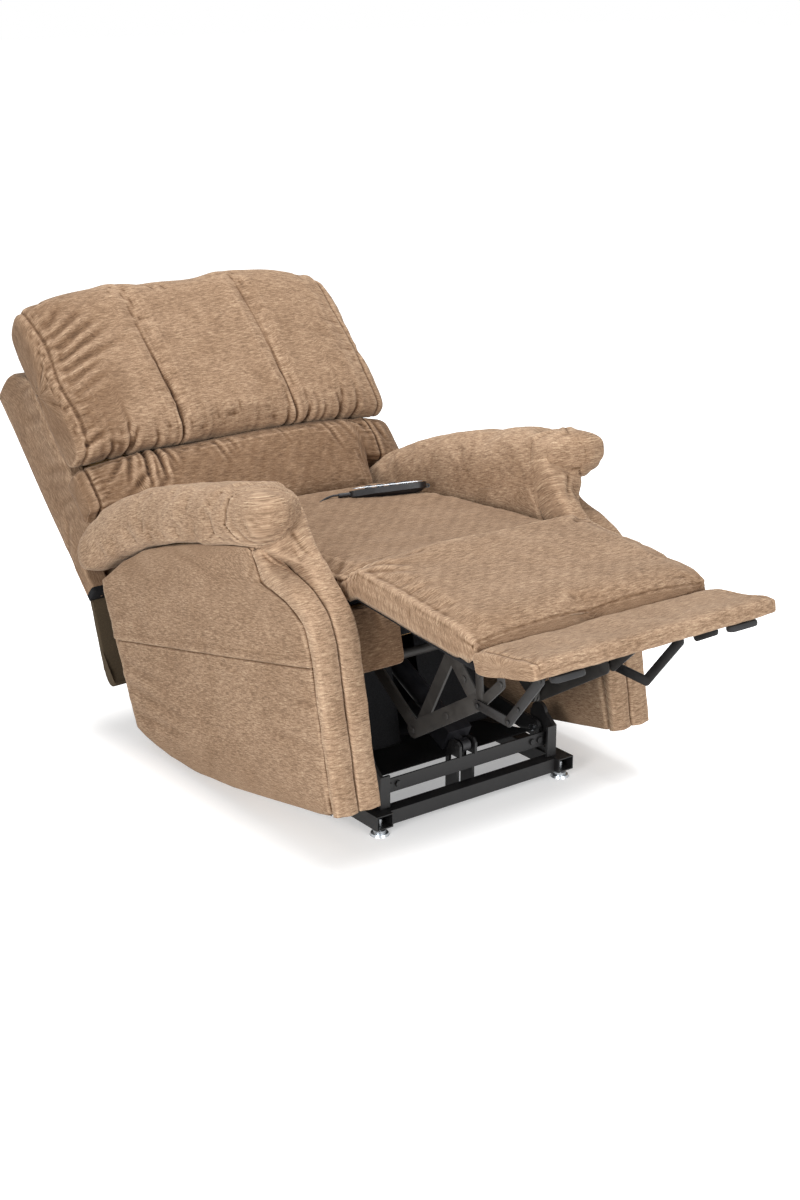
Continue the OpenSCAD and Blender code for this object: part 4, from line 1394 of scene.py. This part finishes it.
@dataclass
class ExtensionPad:
    """The flip-out extension's pad: crowned, with full corners."""

    half: float = 293.0
    near: float = 14.5
    far: float = 184.5
    points: int = 128
    folds: tuple = ((-286, 170, -240, 120, 9, 2.4), (286, 172, 236, 124, 9, 2.4), (-284, 24, -220, 40, 8, 2))

    def build(self, wardrobe: Wardrobe) -> None:
        """Makes and dresses the pad.

        Args:
            wardrobe: The finishes.
        """
        rows, deep = [], (self.far - self.near) / 2
        for x in across(self.half, 150):
            d, c = (float(drawn(x, self.half + 3, power)) for power in (5, 9))
            middle = -(self.far + self.near) / 2 + deep * 0.1 * (1 - c)
            top, low = 25 + 12 * d, 1.0 - 2.2 * d
            size = deep * (0.86 + 0.14 * c), (top - low) / 2
            ring = loop((middle, (top + low) / 2), size, 0.36, self.points)
            ring[:, 1] += 9 * smooth((ring[:, 0] + 130) / 120) * smooth((ring[:, 1] - 12) / 14)
            rows.append(at(np.roll(ring, self.points // 4, axis=0), 0, x))
        skin = Skin(rows, bulge=4, steps=5)
        x, s, n = skin.split(1, -1)
        top = smooth((n - 14) / 12)
        away = 284 - np.abs(x)
        relief = 2.2 * np.sin(math.pi * np.clip((s - 14) / 170, 0, 1)) + 1.5 * ripples(skin.rings, 110, 71)
        relief = top * (relief - 2.6 * bell(away, 3) + creases(self.folds, x, s))
        relief += 0.6 * ripples(skin.rings, 36, 72)
        skin.push(relief + gathers(away, skin.around(), 26, 21, 1.5, 73) * smooth(away / 5))
        made = skin.make("extension_cover", EXTENSION)
        dress(made, wardrobe.cover, "extension", ("extension_pad",))


@dataclass
class SeatCheeks:
    """The two upholstered panels at the seat's front corners, beside the arms."""

    low: float = 272.0
    high: float = 402.0
    inner: float = 165.0
    outer: float = 298.5

    def build(self, wardrobe: Wardrobe) -> None:
        """Makes and dresses both panels.

        Args:
            wardrobe: The finishes.
        """
        mid, half = (self.inner + self.outer) / 2, (self.outer - self.inner) / 2
        for side in Side:
            rows = []
            for y in np.linspace(-351, -364, 8):
                f = 1 - 0.06 * ((-351 - y) / 13) ** 3
                centre = mid * side.value, (self.low + self.high) / 2
                rows.append(at(loop(centre, (half * f, (self.high - self.low) / 2 * f), 0.16, 112), 1, y))
            skin = Skin(rows, bulge=2.2, steps=22)
            x, y, z = skin.split()
            fold = (mid * side.value, self.high, mid * side.value + 20, 330, 8, 1.6)
            skin.push(smooth((-358 - y) / 5) * (0.8 * ripples(skin.rings, 60, 81) + creases([fold], x, z)))
            # painted shade for the footrest's shadow on the panel
            made = skin.make(f"seat_cheek_{side.label}", CHAIR, painted_shade=0.13)
            self._flatten(made)
            dress(made, wardrobe.cover, "chair", ("seat_cheeks",) if side is Side.LEFT else ())

    @staticmethod
    def _flatten(made: Piece) -> None:
        """Lays a piece's weave flat over its front.

        Args:
            made: The piece.
        """
        index = np.zeros(len(made.data.loops), int)
        made.data.loops.foreach_get("vertex_index", index)
        flat = np.array([(v.co.x, v.co.z) for v in made.data.vertices])
        made.data.uv_layers["weave"].data.foreach_set("uv", flat[index].ravel())


# ---- arms ----


@dataclass
class Arm:
    """One upholstered arm: outer and inner panels, a facing of two padded strips, the rolled top pad."""

    side: Side
    strip_gap: float = 2.0
    seam_height: float = 313.0
    # the core's front and rear edges, by height
    front_z: tuple = (-10, 350, 398, 437, 474, 540)
    front_y: tuple = (-394.5, -394.5, -385.5, -339.5, -257.5, -233.5)
    rear_z: tuple = (28, 32, 37, 49, 69, 104, 121, 312, 420, 448, 462, 494, 520, 532, 540)
    rear_y: tuple = (-417, -196, -26, 116, 222, 328, 356, 396, 418, 416, 380, 300, 205, 110, 0)
    panel_folds: tuple = (
        (392, 268, 120, 214, 13, 2.6), (372, 214, 60, 150, 14, 3.0), (-390, 150, -180, 178, 14, 2.4),
        (330, 150, 40, 108, 12, 2.2), (-388, 240, -240, 262, 12, 1.6), (-60, 300, -200, 262, 10, 1.3),
        (400, 360, 250, 396, 12, 1.6), (60, 524, -80, 486, 12, 1.6), (-250, 520, -190, 450, 9, 1.8),
    )
    # the facing strips' front and rear edges (y, z): what both share, and how the inner and the outer go on
    facing_front: tuple = ((-417, 28), (-419, 170), (-421, 311), (-420.5, 354), (-411, 404))
    facing_front_tops: tuple = (
        ((-394, 437), (-362, 477), (-330, 520), (-308, 566), (-291, 604)),
        ((-394, 431), (-357, 462), (-306, 490), (-281, 508), (-266, 536)),
    )
    facing_rear: tuple = (
        (-397, 28), (-397, 170), (-397, 311), (-396, 354), (-389, 389), (-374, 409), (-342, 434),
    )
    facing_rear_tops: tuple = (
        ((-262, 472), (-236, 534), (-230, 596)),
        ((-292, 458), (-256, 478), (-238, 532)),
    )
    # the roll's top and underside, by y
    roll_y: tuple = (-347, -343, -334, -315, -297, -266, -150, 0, 100, 180, 260, 330, 390, 430, 455, 466)
    roll_top: tuple = (628, 633, 638, 644, 649, 654, 655, 653, 648, 639, 626, 608, 583, 558, 534, 508)
    roll_low: tuple = (604, 592, 579, 561, 549, 542.5, 541.5, 541.5, 535, 525, 509, 492, 472, 466, 468, 478)
    # the seam of the nose's cap, by the angle round the roll
    seam_turn: tuple = (0, 40, 70, 100, 150, 180, 225, 270, 315, 360)
    seam_y: tuple = (-214, -226, -262, -316, -331, -333, -331, -324, -272, -214)
    roll_folds: tuple = (
        (-290, 548, -232, 600, 8, 2.6), (-306, 556, -270, 622, 9, 2.2), (-325, 570, -300, 630, 9, 1.8),
        (300, 500, 240, 570, 12, 2.4), (-60, 545, -100, 600, 12, 1.8), (120, 540, 80, 590, 12, 1.6),
    )

    def build(self, wardrobe: Wardrobe) -> None:
        """Makes and dresses the arm's pieces."""
        for part in (self._outer, self._inner, self._rear, self._facing, self._roll):
            part(self.side.label, wardrobe.cover)

    def _edges(self, z: Grid) -> tuple[Grid, Grid]:
        """The y of the core's front and rear edges at some heights."""
        return np.interp(z, self.front_z, self.front_y), np.interp(z, self.rear_z, self.rear_y)

    def _rows(self) -> tuple[Grid, Grid, Grid]:
        """The panels' heights, and their front and rear edges there.

        Returns:
            Heights, front edges and rear edges.
        """
        spans = ((30, 120, 26), (124, 300, 40), (303, 323, 15), (327, 440, 26), (444, 540, 24))
        zs = np.concatenate([np.linspace(*span) for span in spans])
        front, rear = self._edges(zs)
        return zs, front, np.maximum(rear, front + 4)

    def _slab(self, low: float, high: float, count: int) -> Skin:
        """A padded panel of the arm core's outline, between two planes of x.

        Args:
            low: The plane nearer the chair's middle.
            high: The outer plane.
            count: Points round each ring.

        Returns:
            The panel's skin, with rings from the bottom to the top.
        """
        rows, half = [], (high - low) / 2
        rim, r = oval((0, 0), (1, 1), 0.5), min(half, 10.0)
        x = ((low + high) / 2 + half * rim[:, 0]) * self.side.value
        for z, a, b in zip(*self._rows()):
            y = (a + b) / 2 + np.sign(rim[:, 1]) * ((b - a) / 2 - r) + r * rim[:, 1]
            rows.append(at(even(np.column_stack([x, y]), count), 2, z))
        return Skin(rows, bulge=0.5, steps=2)

    def _outer(self, name: str, cover: Finish) -> None:
        """The outer panel, with a level seam across it.

        Args:
            name: The side's name.
            cover: The chenille.
        """
        skin = self._slab(ARM_OUT - PANEL_T + 0.5, ARM_OUT - 1.2, 216)
        x, y, z = skin.split(self.side.value)
        below = smooth((self.seam_height - z) / 4)
        zs, front, rear = self._rows()
        edge = np.minimum(y - np.interp(z, zs, front), np.interp(z, zs, rear) - y)
        relief = 2.4 * bell(z - self.seam_height - 9, 7) - 5.5 * bell(z - self.seam_height, 2.6) - 1.6 * below
        relief += 1.7 * smooth(edge / 46) + 5.5 * smooth(edge / 8) - 5.5
        relief += 1.3 * ripples(skin.rings, 170, 91) + 0.45 * ripples(skin.rings, 48, 92)
        relief += below * gathers(self.seam_height - z, y, 26, 46, 0.9, 93) + creases(self.panel_folds, y, z)
        skin.push(smooth((x - (ARM_OUT - 9)) / 5) * relief)
        # a little painted shade over the panel
        made = skin.make(f"arm_side_{name}", CHAIR, Fibre.AROUND, painted_shade=0.02)
        dress(made, cover, "chair", (f"arm_panel_{name}",))

    def _inner(self, name: str, cover: Finish) -> None:
        """The inner panel, facing the seat.

        Args:
            name: The side's name.
            cover: The chenille.
        """
        skin = self._slab(ARM_IN + 0.5, ARM_IN + 16.5, 140)
        x = skin.split(self.side.value)[0]
        skin.push(smooth((ARM_IN + 10 - x) / 5) * (0.9 * ripples(skin.rings, 140, 101) - 0.8))
        made = skin.make(f"arm_lining_{name}", CHAIR, Fibre.AROUND)
        dress(made, cover, "chair", (f"arm_inner_{name}",))

    def _rear(self, name: str, cover: Finish) -> None:
        """The strip of cover stretched over the frame's rear edge, between the two panels.

        Args:
            name: The side's name.
            cover: The chenille.
        """
        rows, (zs, _, rear) = [], self._rows()
        low, high = ARM_IN + 8, ARM_OUT - 6
        for z in np.linspace(118, 446, 110):
            centre = (low + high) / 2 * self.side.value, float(np.interp(z, zs, rear)) - 1.5
            rows.append(at(loop(centre, ((high - low) / 2, 3.4), 0.2, 96), 2, z))
        skin = Skin(rows, bulge=1, steps=3)
        skin.push(0.5 * ripples(skin.rings, 60, 105))
        made = skin.make(f"arm_back_{name}", CHAIR, Fibre.AROUND)
        dress(made, cover, "chair", ())

    def _facing(self, name: str, cover: Finish) -> None:
        """Two padded strips that follow the arm's front edge.

        Args:
            name: The side's name.
            cover: The chenille.
        """
        width, count = (ARM_OUT - ARM_IN - self.strip_gap) / 2, 88
        rim = loop((0, 0), (width / 2 - 0.3, 1), 0.42, count)
        swell = 0.5 * (rim[:, 1] + 1)
        for i, label in enumerate(("inner", "outer")):
            outer = curve([*self.facing_front, *self.facing_front_tops[i]], 170)
            inner = curve([*self.facing_rear, *self.facing_rear_tops[i]], 170)
            start = ARM_IN + i * (width + self.strip_gap)
            rows = []
            for o, q in zip(outer, inner):
                y, z = (q[k] + (o[k] - q[k]) * swell for k in (0, 1))
                reach = start + width / 2 + rim[:, 0]
                if i == 0:
                    reach = ARM_IN + (reach - ARM_IN) * (1 + 0.92 * smooth((z - 492) / 46))
                    y = y + 26 * bell(z - 524, 26) * swell * (reach - ARM_IN) / 100
                rows.append(np.column_stack([reach * self.side.value, y, z]))
            skin = Skin(rows, bulge=1.5, steps=4)
            x, y, z = skin.split()
            away = np.minimum(1, np.abs(np.abs(x) - start - width / 2) / (width / 2))
            out = bell(np.arange(count) / count - 0.25, 0.16)[None, :]
            relief = 2.2 * out * (1 - away**2) - 1.2 * out * away**6
            relief += 0.9 * ripples(skin.rings, 70, 111 + i) + 0.4 * ripples(skin.rings, 30, 113 + i)
            tucks = gathers(np.hypot(y + 272, z - 532), x + y, 34, 13, 2.6, 115 + i)
            relief += tucks * smooth((z - 440) / 50)
            if i == 0:
                fold = 348 * self.side.value, 560, 318 * self.side.value, 490, 7, 3.2
                relief += out * creases([fold], x, z)
            else:
                relief += out * creases([(-300, 498, -350, 455, 7, 2.2)], y, z)
            skin.push(relief)
            # painted light over both strips
            made = skin.make(f"arm_facing_{label}_{name}", CHAIR, Fibre.AROUND, painted_shade=-0.05)
            dress(made, cover, "chair", (f"arm_facing_{name}",) if i == 0 else ())

    def _roll_skin(self, middle: float, half: float) -> Skin:
        """The rolled top pad's cover before it is filled.

        Args:
            middle: Where its middle is across the chair.
            half: Its half width.

        Returns:
            The skin.
        """
        nose = -347 + 15 * (1 - np.cos(np.linspace(0, 1, 12) * math.pi / 2))
        rows, count = [], 132
        for y in np.r_[nose, np.linspace(-326, 420, 120), np.linspace(424, 466, 26)]:
            top, low = np.interp(y, self.roll_y, self.roll_top), np.interp(y, self.roll_y, self.roll_low)
            top += 2 * float(smooth((-60 - y) / 120) * smooth((y + 345) / 30))
            t = (top - low) / 2
            d = min(1.0, (t / 50) ** 0.35)
            ring = np.roll(loop((0, 0), (half * d, t), 0.62, count), count // 4, axis=0)
            # the inner side reaches down to the seat
            inward = smooth(-ring[:, 0] / (half * d) * 1.6 - 0.45) * smooth((0.35 * t - ring[:, 1]) / t)
            ring[:, 1] -= 74 * inward * float(smooth((y + 330) / 60)) * float(smooth((470 - y) / 90))
            ring[:, 0] -= 3.8 * inward
            placed = np.column_stack([(middle + ring[:, 0]) * self.side.value, (top + low) / 2 + ring[:, 1]])
            rows.append(at(placed, 1, y))
        return Skin(rows, bulge=3, steps=6)

    def _roll(self, name: str, cover: Finish) -> None:
        """The rolled top pad, with a cap sewn over its nose.

        Args:
            name: The side's name.
            cover: The chenille.
        """
        middle = (ARM_IN + ARM_OUT) / 2 + 18
        skin = self._roll_skin(middle, (ARM_OUT - ARM_IN) / 2 + 15.5)
        x, unsheared, _ = skin.split(self.side.value)
        skin.rings[..., 1] = unsheared + smooth((-190 - unsheared) / 140) * (50 * smooth((395 - x) / 95) - 4)
        x, y, z = skin.split(self.side.value)
        centre = skin.rings.mean(axis=1, keepdims=True)[..., 2]
        turn = np.degrees(np.arctan2(z - centre, x - middle)) % 360
        outer = smooth((x - 318) / 46)
        girth = skin.around()
        away = unsheared - np.interp(turn, self.seam_turn, self.seam_y)
        skin.inflate(np.clip(bell(away, 7) + (z < centre - 34), 0, 1), 2.0, 6, 0.01)
        seam = -3.6 * bell(away, 3.2) + 1.8 * bell(away - 11, 8) + 2.2 * bell(away + 11, 9)
        relief = (0.4 + 0.6 * outer) * seam
        relief += outer * gathers(away, girth, 34, 23, 0.5, 121)
        low_front = smooth((-250 - y) / 60) * smooth((575 - z) / 22) * outer
        relief += low_front * gathers(z - 545, y + x * 0.6, 22, 14, 1.4, 122)
        relief += creases(self.roll_folds, y, z) * smooth((x - middle) / 20)
        relief += 1.7 * ripples(skin.rings, 120, 123) + 0.6 * ripples(skin.rings, 40, 124)
        skin.push(relief)
        x, y, z = skin.split(self.side.value)
        # painted light over the roll, stronger on its inner side
        painted_shade = -0.05 - 0.05 * smooth((middle - x) / 30)
        made = skin.make(f"arm_roll_{name}", CHAIR, cap=(away < 0, 0.8 * (x - y), z), painted_shade=painted_shade)
        dress(made, cover, "chair", (f"arm_pad_{name}",))


# ---- studio ----


@dataclass
class Studio:
    """A pale paper floor, a white surround, broad soft lights and the camera."""

    eye: tuple[float, float, float] = (-2.266, -3.135, 1.674)
    target: tuple[float, float, float] = (0.0, -0.066, 0.4)
    lens: float = 57.2
    shift: tuple[float, float] = (0.0133, -0.0158)
    # the shadow lies within this half box, and the paper is full white this far outside it
    shade: tuple[float, float, float] = (0.38, 0.4, 0)
    fade: float = 0.2
    # name, place, what it looks at, watts, side in metres
    lamps: tuple = (
        ("key_softbox", (-3.5, -2.0, 1.5), (0, 0, 0.45), 112, 1.5),
        ("top_softbox", (0.3, 0.5, 3.4), (0, 0, 0.5), 78, 1.8),
        ("front_softbox", (0.2, -4.2, 1.1), (0, 0, 0.4), 66, 1.4),
    )

    @staticmethod
    def _aim(name: str, data: bpy.types.ID, place: tuple, target: tuple) -> Piece:
        """Puts a lamp or camera somewhere and points it at a target.

        Args:
            name: The object's name.
            data: Its data.
            place: Where it stands.
            target: What it looks at.

        Returns:
            The object.
        """
        made = bpy.data.objects.new(name, data)
        made.location = place
        made.rotation_euler = (Vector(target) - Vector(place)).to_track_quat("-Z", "Y").to_euler()
        bpy.context.scene.collection.objects.link(made)
        return made

    def camera(self) -> None:
        """Makes the camera and sets it as the scene's."""
        data = bpy.data.cameras.new("camera")
        data.lens, data.sensor_width, data.clip_end = self.lens, 36.0, 60
        data.shift_x, data.shift_y = self.shift
        bpy.context.scene.camera = self._aim("camera", data, self.eye, self.target)

    @staticmethod
    def _shown(tree: Tree) -> Socket:
        """1 for rays that show the background: camera, glossy and transmission rays.

        Args:
            tree: The node tree.

        Returns:
            The socket.
        """
        rays = add(tree, "ShaderNodeLightPath").outputs
        some = calc(tree, "MAXIMUM", rays["Is Camera Ray"], rays["Is Glossy Ray"])
        return calc(tree, "MAXIMUM", some, rays["Is Transmission Ray"])

    def _floor(self) -> None:
        """Makes the paper floor: matt, and glowing white away from the chair."""
        bpy.ops.mesh.primitive_plane_add(size=60, location=(0, 0, 0))
        floor = bpy.context.object
        floor.name = "studio_floor"
        made, tree, shader, place = blank("matt_white_paper")
        tree.nodes.remove(shader)
        past = vector(tree, "SUBTRACT", vector(tree, "ABSOLUTE", place).outputs[0], self.shade).outputs[0]
        away = vector(tree, "LENGTH", vector(tree, "MAXIMUM", past, (0, 0, 0)).outputs[0]).outputs["Value"]
        lift = spread(tree, away, (0.0, self.fade), (0.34, 0.92), interpolation_type="SMOOTHSTEP")
        strength = calc(tree, "MULTIPLY", self._shown(tree), lift)
        glow = add(tree, "ShaderNodeEmission", {"Color": (1, 1, 1, 1), "Strength": strength})
        matt = add(tree, "ShaderNodeBsdfDiffuse", {"Color": linear("#dedede")})
        both = add(tree, "ShaderNodeAddShader", {0: matt.outputs[0], 1: glow.outputs[0]})
        output = next(node for node in tree.nodes if node.type == "OUTPUT_MATERIAL")
        feed(tree, output, {0: both.outputs[0]})
        floor.data.materials.append(made)

    def build(self) -> None:
        """Makes the floor, the world and the lamps."""
        self._floor()
        world = bpy.data.worlds.new("studio")
        bpy.context.scene.world = world
        world.use_nodes = True
        tree = world.node_tree
        tree.nodes.clear()
        level = spread(tree, self._shown(tree), (0.0, 1.0), (0.52, 1.0))
        sky = add(tree, "ShaderNodeBackground", {"Color": (1, 1, 1, 1), "Strength": level})
        add(tree, "ShaderNodeOutputWorld", {0: sky.outputs[0]})
        for name, place, target, power, size in self.lamps:
            data = bpy.data.lights.new(name, "AREA")
            data.energy, data.size = power, size
            self._aim(name, data, place, target)
        bpy.context.scene.view_settings.view_transform = "Standard"


# ---- cloth and steel under the seat ----


@dataclass
class DustCloth:
    """Black cloth: hangings and a tray under the seat, the front rail's cover and the board's wrap."""

    # the side view of each pair, from the hem up
    hangings: tuple = (
        ("front", ((-120, 51), (-123, 120), (-121, 210), (-118, 300), (-117, 384))),
        ("rear", ((-24, 34), (-27, 120), (-25, 220), (-22, 310), (-21, 380))),
    )

    def build(self, wardrobe: Wardrobe) -> None:
        """Makes and dresses the cloth's pieces.

        Args:
            wardrobe: The finishes.
        """
        felt = wardrobe.felt
        for label, line in self.hangings:
            self._pair(label, curve([*line], 70), felt)
        rows = []
        for x in np.linspace(-202, 202, 90):
            slack = 3.0 * float(drawn(x, 206, 2)) + 0.7 * math.sin(x / 23)
            y = np.linspace(-321, -98, 60)
            z = 97 - 0.21 * (y + 321) - slack * np.sin(math.pi * (y + 321) / 223)
            rows.append(at(np.column_stack([np.r_[y, y[::-1]], np.r_[z, z[::-1] - 1.5]]), 0, x))
        made = Skin(rows, bulge=0.3, steps=2).make("base_cloth", ROW)
        dress(made, felt, "base")
        ring = loop((-351.6, 364.5), (0.9, 38.5), 0.2, 60)
        rows = [at(ring, 0, x) for x in np.linspace(-164, 164, 80)]
        made = Skin(rows, bulge=0.2, steps=2).make("front_rail_cloth", CHAIR)
        dress(made, felt, "chair")
        ring = loop((0, -8.0), (282.8, 7.8), 0.12, 160)
        rows = [at(ring, 1, y) for y in np.linspace(-366.6, -7.4, 60)]
        made = Skin(rows, bulge=0.4, steps=3).make("footrest_wrap", FOOTREST, Fibre.AROUND)
        dress(made, felt, "footrest", ("footrest_board",))

    @staticmethod
    def _pair(label: str, path: Grid, felt: Finish) -> None:
        """A pair of hanging cloths, one on each side of the lift motor.

        Args:
            label: Which pair.
            path: Its side view, from the hem up.
            felt: Its finish.
        """
        drop = float(path[-1, 1] - path[0, 1])
        hang = smooth((path[-1, 1] - path[:, 1]) / drop)
        for side in Side:
            rows = []
            for x in np.linspace(33.5, 199, 50):
                sway = 1.6 * math.sin(x / 17) + 1.1 * math.sin(x / 41)
                out = np.column_stack([path[:, 0] + sway * hang, path[:, 1]])
                rows.append(at(np.vstack([out, out[::-1] + np.array([1.4, 0])]), 0, x * side.value))
            made = Skin(rows, bulge=0.3, steps=2).make(f"dust_cloth_{label}_{side.label}", CHAIR)
            dress(made, felt, "chair")


@dataclass(frozen=True)
class Plate:
    """A flat steel link built of strips with round ends; places are (y, z) in millimetres of its plane."""

    name: str
    plane: Plane
    finish: str
    body: str
    width: float
    # its face nearer the chair's middle; every other strip lies one step outside it
    inner: float
    path: tuple
    step: float = 0.4
    rivets: tuple = ()
    rivet_radius: float = 0.0
    rivet_inner: float = 0.0


@dataclass
class LinkPlates:
    """Flat steel links of the footrest's works, with rivets, and the rubber stops under the extension."""

    thick: float = 3.6
    stop: tuple[float, float, float] = (212, -168, -6)
    plates: tuple = (
        Plate(
            "crank_link", CHAIR, "grey_steel", "upper_brace", 34.0, 158.3,
            path=((-502, 313), (-568, 212), (-352, 135.5)), step=0.5,
            rivets=((-502, 313), (-568, 212), (-352, 135.5), (-540, 255), (-470, 177)),
            rivet_radius=7, rivet_inner=162.6,
        ),
        Plate(
            "hanger_plate", FOOTREST, "grey_steel", "footrest", 20.0, 165.0,
            path=((-296, -20), (-252, -98), (-262, -156), (-316, -92), (-296, -20)),
            rivets=((-262, -156), (-252, -98), (-316, -92)), rivet_radius=6, rivet_inner=169.2,
        ),
        Plate(
            "drive_link", FOOTREST, "black_steel", "footrest", 20.0, 170.2,
            path=((-262, -156), (-350, -152), (-424, -38)),
            rivets=((-262, -156), (-350, -152), (-424, -38), (-374, -116)),
            rivet_radius=4.5, rivet_inner=174.4,
        ),
        Plate("extension_catch", EXTENSION, "black_steel", "extension", 16, 176.0, ((-84, -26), (-132, -12))),
    )

    def build(self, wardrobe: Wardrobe) -> None:
        """Makes and dresses the links of both sides.

        Args:
            wardrobe: The finishes.
        """
        finishes = wardrobe.by_slot()
        for side in Side:
            for plate in self.plates:
                parts = [
                    self._strip(plate, ends, plate.inner + plate.step * (i % 2), side)
                    for i, ends in enumerate(zip(plate.path, plate.path[1:]))
                ]
                for place in plate.rivets:
                    head = Vector(plate.plane.point((plate.rivet_inner + 1.0) * side.value, *place))
                    parts.append(self._soften(self._disc(head, plate.rivet_radius, 3.0), 1.1))
                bpy.ops.object.select_all(action="DESELECT")
                for part in parts:
                    part.select_set(True)
                bpy.context.view_layer.objects.active = parts[0]
                if len(parts) > 1:
                    bpy.ops.object.join()
                parts[0].name = parts[0].data.name = f"{plate.name}_{side.label}"
                dress(parts[0], finishes[plate.finish], plate.body)
            self._bumper(f"extension_bumper_{side.label}", side, wardrobe)

    def _strip(self, plate: Plate, ends: tuple, inner: float, side: Side) -> Piece:
        """A flat link with round ends, seen from the side.

        Args:
            plate: The link that it is part of.
            ends: The centres (y, z) of its two ends.
            inner: Its face nearer the chair's middle.
            side: Which side of the chair.

        Returns:
            The object.
        """
        x = (inner + self.thick / 2) * side.value
        first, last = (Vector(plate.plane.point(x, *end)) for end in ends)
        made = self._disc(first, plate.width / 2, self.thick)
        along = (last - first).normalized()
        self._shift(made, lambda co: (co - first).dot(along) > -1e-7, last - first)
        return self._soften(made, 0.5)

    @staticmethod
    def _shift(made: Piece, chosen: Callable[[Vector], bool], by: Vector) -> None:
        """Moves some of a piece's points in edit mode.

        Args:
            made: The piece.
            chosen: Whether a point, given by its place, moves.
            by: How far, in metres.
        """
        bpy.ops.object.mode_set(mode="EDIT")
        bpy.ops.mesh.select_all(action="DESELECT")
        bpy.ops.object.mode_set(mode="OBJECT")
        for vert in made.data.vertices:
            vert.select = chosen(vert.co)
        bpy.ops.object.mode_set(mode="EDIT")
        bpy.ops.transform.translate(value=by)
        bpy.ops.object.mode_set(mode="OBJECT")

    @staticmethod
    def _disc(place: Vector, radius: float, thick: float, turn: tuple = (0, math.pi / 2, 0)) -> Piece:
        """A disc, across X unless it is turned otherwise.

        Args:
            place: Its centre, in metres.
            radius: Its radius, in millimetres.
            thick: Its thickness, in millimetres.
            turn: Its rotation.

        Returns:
            The object, at the origin.
        """
        bpy.ops.object.select_all(action="DESELECT")
        bpy.ops.mesh.primitive_cylinder_add(
            vertices=40, radius=radius * MM, depth=thick * MM, location=place, rotation=turn
        )
        bpy.ops.object.transform_apply(location=True, rotation=True, scale=True)
        return bpy.context.object

    @staticmethod
    def _soften(made: Piece, width: float) -> Piece:
        """Rounds a piece's sharp edges.

        Args:
            made: The object.
            width: The rounding, in millimetres.

        Returns:
            The same object.
        """
        bevel = made.modifiers.new("edge_rounding", "BEVEL")
        bevel.width, bevel.segments = width * MM, 2
        bevel.limit_method, bevel.angle_limit = "ANGLE", math.radians(40)
        bpy.context.view_layer.objects.active = made
        bpy.ops.object.modifier_apply(modifier=bevel.name)
        bpy.ops.object.shade_smooth_by_angle(angle=math.radians(35))
        return made

    def _bumper(self, name: str, side: Side, wardrobe: Wardrobe) -> None:
        """A soft black stop under the extension's front corner.

        Args:
            name: The piece's name.
            side: Which side of the chair.
            wardrobe: The finishes.
        """
        x, y, z = self.stop
        place = Vector(EXTENSION.point(x * side.value, y, z))
        made = self._disc(place, 12, 13, (math.radians(EXTENSION.angle), 0, 0))
        for sign in (-1, 1):
            self._shift(made, lambda co: (co.x - place.x) * sign > 1e-6, Vector((0.024 * sign, 0, 0)))
        self._soften(made, 4.5)
        made.name = made.data.name = name
        dress(made, wardrobe.rubber_black, "extension")


@dataclass
class Hardware:
    """The CAD pieces that stay: frame, works, motors and handset."""

    def build(self, wardrobe: Wardrobe) -> None:
        """Gives every CAD node the finish of its slot.

        Args:
            wardrobe: The finishes.
        """
        finishes = wardrobe.by_slot()
        slots = {part["node"]: part["material_slot"] for part in frame["record"]["subparts"]}
        for name, node in frame["nodes"].items():
            node.data.materials.clear()
            node.data.materials.append(finishes[slots[name]])
            for face in node.data.polygons:
                face.material_index = 0


def main() -> None:
    """Builds the chair in order."""
    logging.basicConfig(level=logging.INFO, format="%(message)s")
    bpy.ops.object.select_all(action="DESELECT")
    studio = Studio()
    studio.camera()
    wardrobe = Wardrobe()
    back = HeadCushion(), LumbarCushion(), BackShell(), RearFlap()
    pads = ChaisePad(), ExtensionPad(), SeatCheeks()
    arms = [Arm(side) for side in Side]
    for part in (HandsetCord(), Hardware(), *back, *pads, DustCloth(), LinkPlates(), *arms):
        part.build(wardrobe)
    studio.build()


if __name__ == "__main__":
    main()
